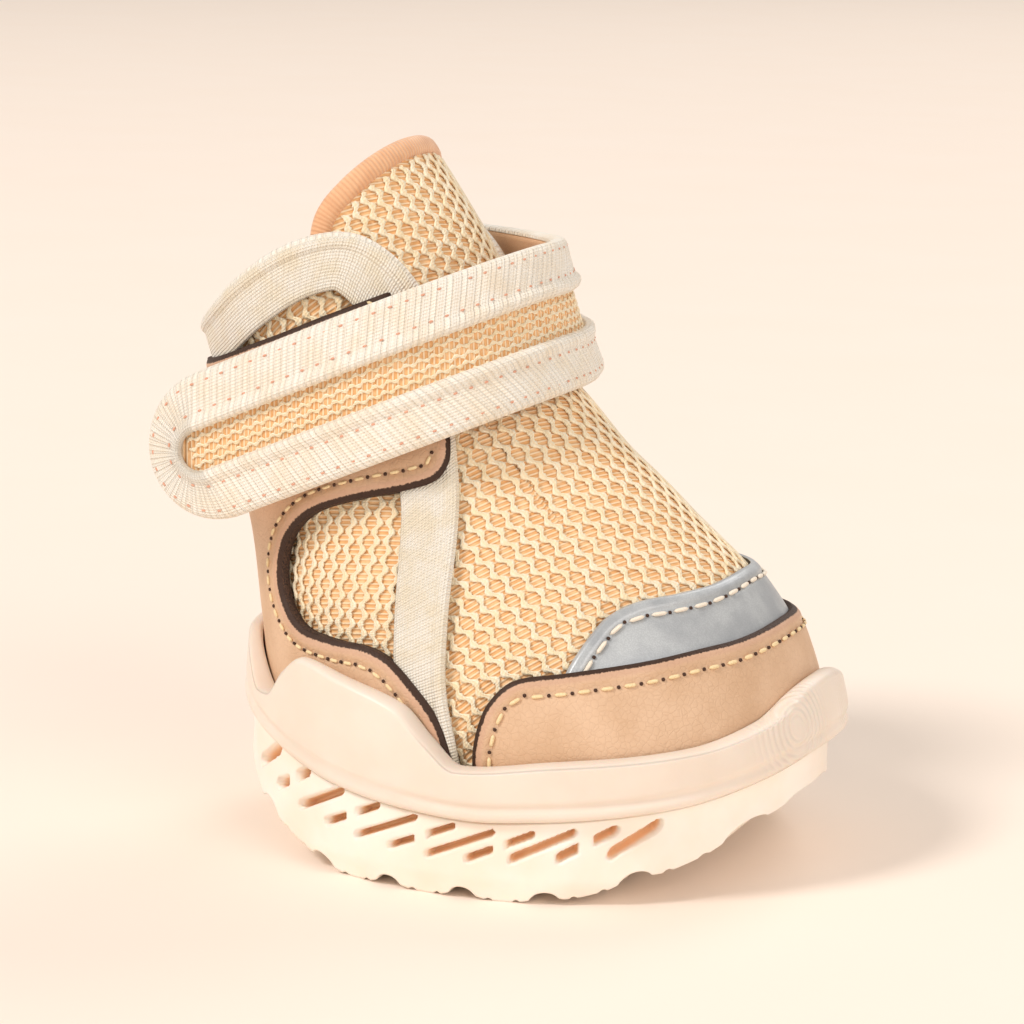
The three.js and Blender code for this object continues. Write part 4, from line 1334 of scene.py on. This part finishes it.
def tongue_side(margin, count):
    """(up, angle) along the tongue's edge from its foot to the crown's middle, moved inwards over
    the last by a margin: steps along the last's two tangents close in on the place a margin
    inside the edge."""
    line = resampled(tongue_edge, 6000)
    line = located_to(line[line[:, 1] > throat_z - STRAP_WIDTH / 2], 0)
    run = length_along(last_surface(*line.T))
    up, angle = read(np.linspace(0, run[-1], count), run, line).T
    edge = last_surface(up, angle)
    way = np.gradient(edge, axis=0)
    way[-1] = (0, -1, 0)
    inwards = np.cross(last_normal(up, angle), way)
    goal = edge + margin * inwards / np.linalg.norm(inwards, axis=1, keepdims=True)
    step = 0.002
    for _ in range(4):
        rise = (last_surface(up + step, angle) - last_surface(up - step, angle)) / (2 * step)
        turn = (last_surface(up, angle + step) - last_surface(up, angle - step)) / (2 * step)
        left = goal - last_surface(up, angle)
        a, b, c = (rise * rise).sum(1), (rise * turn).sum(1), (turn * turn).sum(1)
        p, q = (rise * left).sum(1), (turn * left).sum(1)
        up = up + (c * p - b * q) / (a * c - b * b)
        angle = angle + (a * q - b * p) / (a * c - b * b)
    angle[-1] = 0
    return up, np.maximum(angle, 0)


def make_tongue():
    """Tongue: at each place up its edge a row across from edge to edge, the net in front."""
    up, angle = tongue_side(TONGUE_BINDING - 0.4, 130)
    up = np.maximum.accumulate(up)
    share = np.sin(np.linspace(-1, 1, 81) * math.pi / 2)
    ups = np.repeat(up[:, None], len(share), 1)
    angles = angle[:, None] * share
    points, faces = shell(on_last(ups, angles, tongue_face - 0.3),
                          on_last(ups, angles, tongue_face - TONGUE_THICKNESS))
    cloth = np.stack([points[:, 1], points @ tongue_cloth.way], -1)
    piece = new_piece("tongue_cloth", points, faces, (backing,), {"cloth": cloth})
    belongs(piece, "air_mesh", "tongue")

    low, high = tongue_cloth.ts[0], tongue_cloth.ts[-1]
    across, along, wide = zigzag(34, high - low, 1.8, 2.0)
    up, angles, _ = tongue_cloth.place(across, along + (low + high) / 2)
    normals = last_normal(up, angles)
    centres = last_surface(up, angles) + normals * (tongue_face - 0.1)
    x, z = centres[..., 0], centres[..., 2]
    inner_edge = last_surface(*tongue_side(TONGUE_BINDING - 0.2, 300))[:, ::2]
    area = np.concatenate([inner_edge, [(60, inner_edge[-1, 1]), (60, inner_edge[0, 1])]])
    kept = inside_outline(x, z, area) & (z > throat_z - 6) & (up < 0.995)
    belongs(tubes("tongue_net", centres, normals, wide, 0.2, kept, net), "air_mesh", "tongue")


def make_tongue_binding():
    """Binding: a rounded flat loop carried up the tongue's edge and over its crown."""
    turn = np.linspace(0, 2 * np.pi, 21)
    margin = TONGUE_BINDING / 2 + (TONGUE_BINDING / 2 + 0.1) * signed_power(np.cos(turn), 0.7)
    height = tongue_face - TONGUE_THICKNESS / 2 + 1.12 * signed_power(np.sin(turn), 0.75)
    grid = np.stack([on_last(*tongue_side(m, 190), h) for m, h in zip(margin, height)], 1)
    grid = np.concatenate([np.repeat(grid[:1].mean(1, keepdims=True), len(turn), 1), grid])
    grid = np.concatenate([grid, mirrored(grid)[::-1][1:]])
    along = length_along(grid[:, 10])[:, None]
    around = np.arange(len(turn))[None, :] * 0.3
    weave = np.stack(np.broadcast_arrays(along, around), -1).reshape(-1, 2)
    belongs(new_piece("tongue_edging", grid.reshape(-1, 3), grid_faces(*grid.shape[:2]), (knit,),
                      {"weave": weave}), "knit", "tongue_binding")


COS_TILT, SIN_TILT = math.cos(STRAP_TILT), math.sin(STRAP_TILT)


def strap_place(along, up):
    """Side view place of a point of the strap's tilted plane, along it and up across it."""
    return (STRAP_HOME[0] + COS_TILT * along - SIN_TILT * up,
            STRAP_HOME[1] + SIN_TILT * along + COS_TILT * up)


def side_reach(up):
    """Half width of the strap's inside beside its home, a little outside the leather."""
    return float(half_width(*strap_place(0, up))) + leather_top + 3 * FIT


def front_reach():
    """Distance from the strap's home to the last's toe line along the strap's lower edge."""
    steps = np.arange(400) * FIT
    return steps[np.argmax(half_width(*strap_place(steps, -STRAP_WIDTH / 2)) <= FIT)]


half_strap = STRAP_WIDTH / 2
near_side = (side_reach(-half_strap) + side_reach(half_strap)) / 2
far_side = side_reach(STRAP_LIFT)
side_flare = (side_reach(-half_strap) - side_reach(half_strap)) / STRAP_WIDTH
strap_front = front_reach() + 2 * FIT - STRAP_FLARE * half_strap


def strap_route():
    """Middle line of the strap in its plane: half an oval from the left side, then the tail."""
    angle = np.linspace(math.acos(STRAP_ROOT / strap_front), -np.pi / 2, 13)
    oval = np.stack([strap_front * np.cos(angle),
                     np.where(angle > 0, far_side, near_side) * np.sin(angle)], -1)
    tail = [(-STRAP_TAIL / 2, -near_side - FIT), (-STRAP_TAIL, -near_side - 4 * FIT)]
    return through(np.concatenate([oval, tail]), 1, 1, 24)


ROUTE = strap_route()
ROUTE_RUN = length_along(ROUTE)
ROUTE_WAY = np.gradient(ROUTE, axis=0)
ROUTE_WAY /= np.linalg.norm(ROUTE_WAY, axis=1, keepdims=True)
strap_length = ROUTE_RUN[-1]


def strap_point(distance, up, height):
    """A place on the strap: it leans with the last in front, and is lifted on the left side."""
    x, y, way_x, way_y = (np.interp(distance, ROUTE_RUN, column)
                          for column in (*ROUTE.T, *ROUTE_WAY.T))
    bend = np.clip(x / strap_front, 0, 1)
    out = height - (side_flare + (STRAP_FLARE - side_flare) * bend ** 4) * up
    lift = np.where(y > 0, STRAP_LIFT * (1 - x / strap_front), 0)
    flat_x, flat_z = strap_place(x - way_y * out, up + lift)
    return np.stack([flat_x, y + way_x * out, flat_z], -1)


def loop(start, end, half, radius):
    """Closed outline on the strap: up from a straight end, round the far end and back."""
    straight = end - radius
    turn = np.linspace(-np.pi / 2, np.pi / 2, 46)[1:-1]
    low = np.stack([np.linspace(start, straight, 190), np.full(190, -half)], -1)
    bow = np.stack([straight + radius * np.cos(turn), half * np.sin(turn)], -1)
    high = low[::-1] * (1, -1)
    close = np.stack([np.full(24, float(start)), np.linspace(half, -half, 26)[1:-1]], -1)
    return np.concatenate([low, bow, high, close])


# Across the tape from its outer edge to the channel and back underneath: width in, height
TAPE_PROFILE = np.array([
    (0.3, 0.0), (0.06, 0.3), (0.0, 0.9), (0.08, 1.45), (0.35, 1.85), (0.8, 2.02), (1.5, 2.08),
    (2.4, 2.08), (3.3, 2.04), (4.1, 2.0), (4.5, 2.05), (4.8, 2.3), (5.2, 2.46), (5.6, 2.4),
    (5.95, 2.1), (6.1, 1.6), (6.0, 1.25), (3.0, 1.22), (0.55, 1.2), (0.45, 0.1), (0.3, 0.0),
])


def make_strap():
    """Strap: a closed slab of mesh cloth, its net in the channel, and the tape round it."""
    turn = np.linspace(0, np.pi / 2, 30)
    radius = half_strap - 0.5
    distance = np.concatenate([np.linspace(0.4, strap_length - 0.5 - radius, 190)[:-1],
                               strap_length - 0.5 - radius + radius * np.sin(turn)])
    half = np.concatenate([np.full(189, radius), radius * np.cos(turn)])
    share = np.linspace(-1, 1, 26)[:, None]
    up = share * half
    along = np.broadcast_to(distance, up.shape)
    cloth = walled("strap_cloth", strap_point(along, up, 1.02), strap_point(along, up, 0.0),
                   ("cloth", np.stack([up, along], -1)), (backing, lining))
    belongs(cloth, "air_mesh", "strap")

    ups, runs, wide = zigzag(6, strap_length - 10, 0.95, 1.5, 0.22)
    runs = runs + strap_length / 2
    centres = strap_point(runs, ups, 1.14)
    outs = strap_point(runs, ups, 2.14) - centres
    kept = (np.abs(ups) < 2.4) & (runs > STRAP_END_BAND) & (runs < strap_length - STRAP_END_BAND)
    belongs(tubes("strap_net", centres, outs, wide, 0.16, kept, net), "air_mesh", "strap")

    outside = loop(0, strap_length, half_strap, half_strap)
    half_channel = STRAP_CHANNEL / 2
    inside = loop(STRAP_END_BAND, strap_length - STRAP_END_BAND, half_channel, half_channel)
    band = half_strap - half_channel
    width, height = TAPE_PROFILE[:, 0, None], TAPE_PROFILE[:, 1, None]
    share = width[..., None] / band
    place = outside[None] * (1 - share) + inside[None] * share
    round_run = length_along(outside)
    wave = 0.05 * np.sin(round_run * 1.3) + 0.04 * np.sin(round_run * 3.1 + 1)
    lifted = height + np.where(height > 1.7, wave, 0)
    grid = strap_point(place[..., 0], place[..., 1], lifted)
    weave = np.stack(np.broadcast_arrays(round_run[None, :], width), -1).reshape(-1, 2)
    round_piece("strap_binding", grid, strap_weave, "woven_tape", "strap_tape",
                {"weave": weave})

    for name, width in (("outer", 1.15), ("inner", 4.15)):
        share = width / band
        line = outside * (1 - share) + inside * share
        path = strap_point(*line.T, 2.08)
        outs = strap_point(*line.T, 3.08) - path
        centres, runs, facing = seam(path, outs, 1.9)
        belongs(beads("strap_dots_" + name, centres, runs, facing, 0.26, 0.12, 0.05, red_dot),
                "woven_tape")


for make in (make_cup, make_outsole, make_insole, make_upper, make_counter, make_mudguard,
             make_toe_cap, make_collar_tape, make_tongue, make_tongue_binding, make_strap):
    make()

# Floor, light and camera

bpy.ops.mesh.primitive_plane_add(size=6)
floor = bpy.context.object
floor.name = "floor"
floor.data.materials.append(floor_finish())


def soft_light(name, place, target, size, power, colour):
    """Round area lamp at a place, facing a target."""
    lamp = bpy.data.lights.new(name, "AREA")
    lamp.shape, lamp.size, lamp.energy, lamp.color = "DISK", size, power, colour
    held = bpy.data.objects.new(name, lamp)
    held.location = place
    held.rotation_euler = (Vector(target) - Vector(place)).to_track_quat("-Z", "Y").to_euler()
    bpy.context.scene.collection.objects.link(held)


soft_light("key", (-1.5, -2.0, 2.5), (0, 0, 0.03), 0.9, 64, (1.0, 0.965, 0.93))
soft_light("fill", (2.3, -1.5, 1.4), (0, 0, 0.03), 2.2, 27, (1.0, 0.965, 0.935))
soft_light("back", (0.4, 2.4, 2.2), (0, 0, 0.04), 1.6, 20, (1.0, 0.975, 0.95))

world = bpy.data.worlds.new("studio")
bpy.context.scene.world = world
world.use_nodes = True
world.node_tree.nodes["Background"].inputs["Color"].default_value = (1.0, 0.94, 0.885, 1)
world.node_tree.nodes["Background"].inputs["Strength"].default_value = 0.55
bpy.context.scene.view_settings.view_transform = "Standard"

EYE = Vector((0.13762, -0.34212, 0.10982))
AIM = Vector((-0.0046, 0.0, 0.0365))
LEVEL = Vector((math.cos(math.radians(28)), math.sin(math.radians(28)), 0))

camera = bpy.data.objects.new("camera", bpy.data.cameras.new("camera"))
bpy.context.scene.collection.objects.link(camera)
ahead = (AIM - EYE).normalized()
right = (LEVEL - ahead * LEVEL.dot(ahead)).normalized()
above = right.cross(ahead)
camera.matrix_world = Matrix.Translation(EYE) @ Matrix((right, above, -ahead)).transposed().to_4x4()
camera.data.lens = 116.9
camera.data.clip_start = 0.01
bpy.context.scene.camera = camera
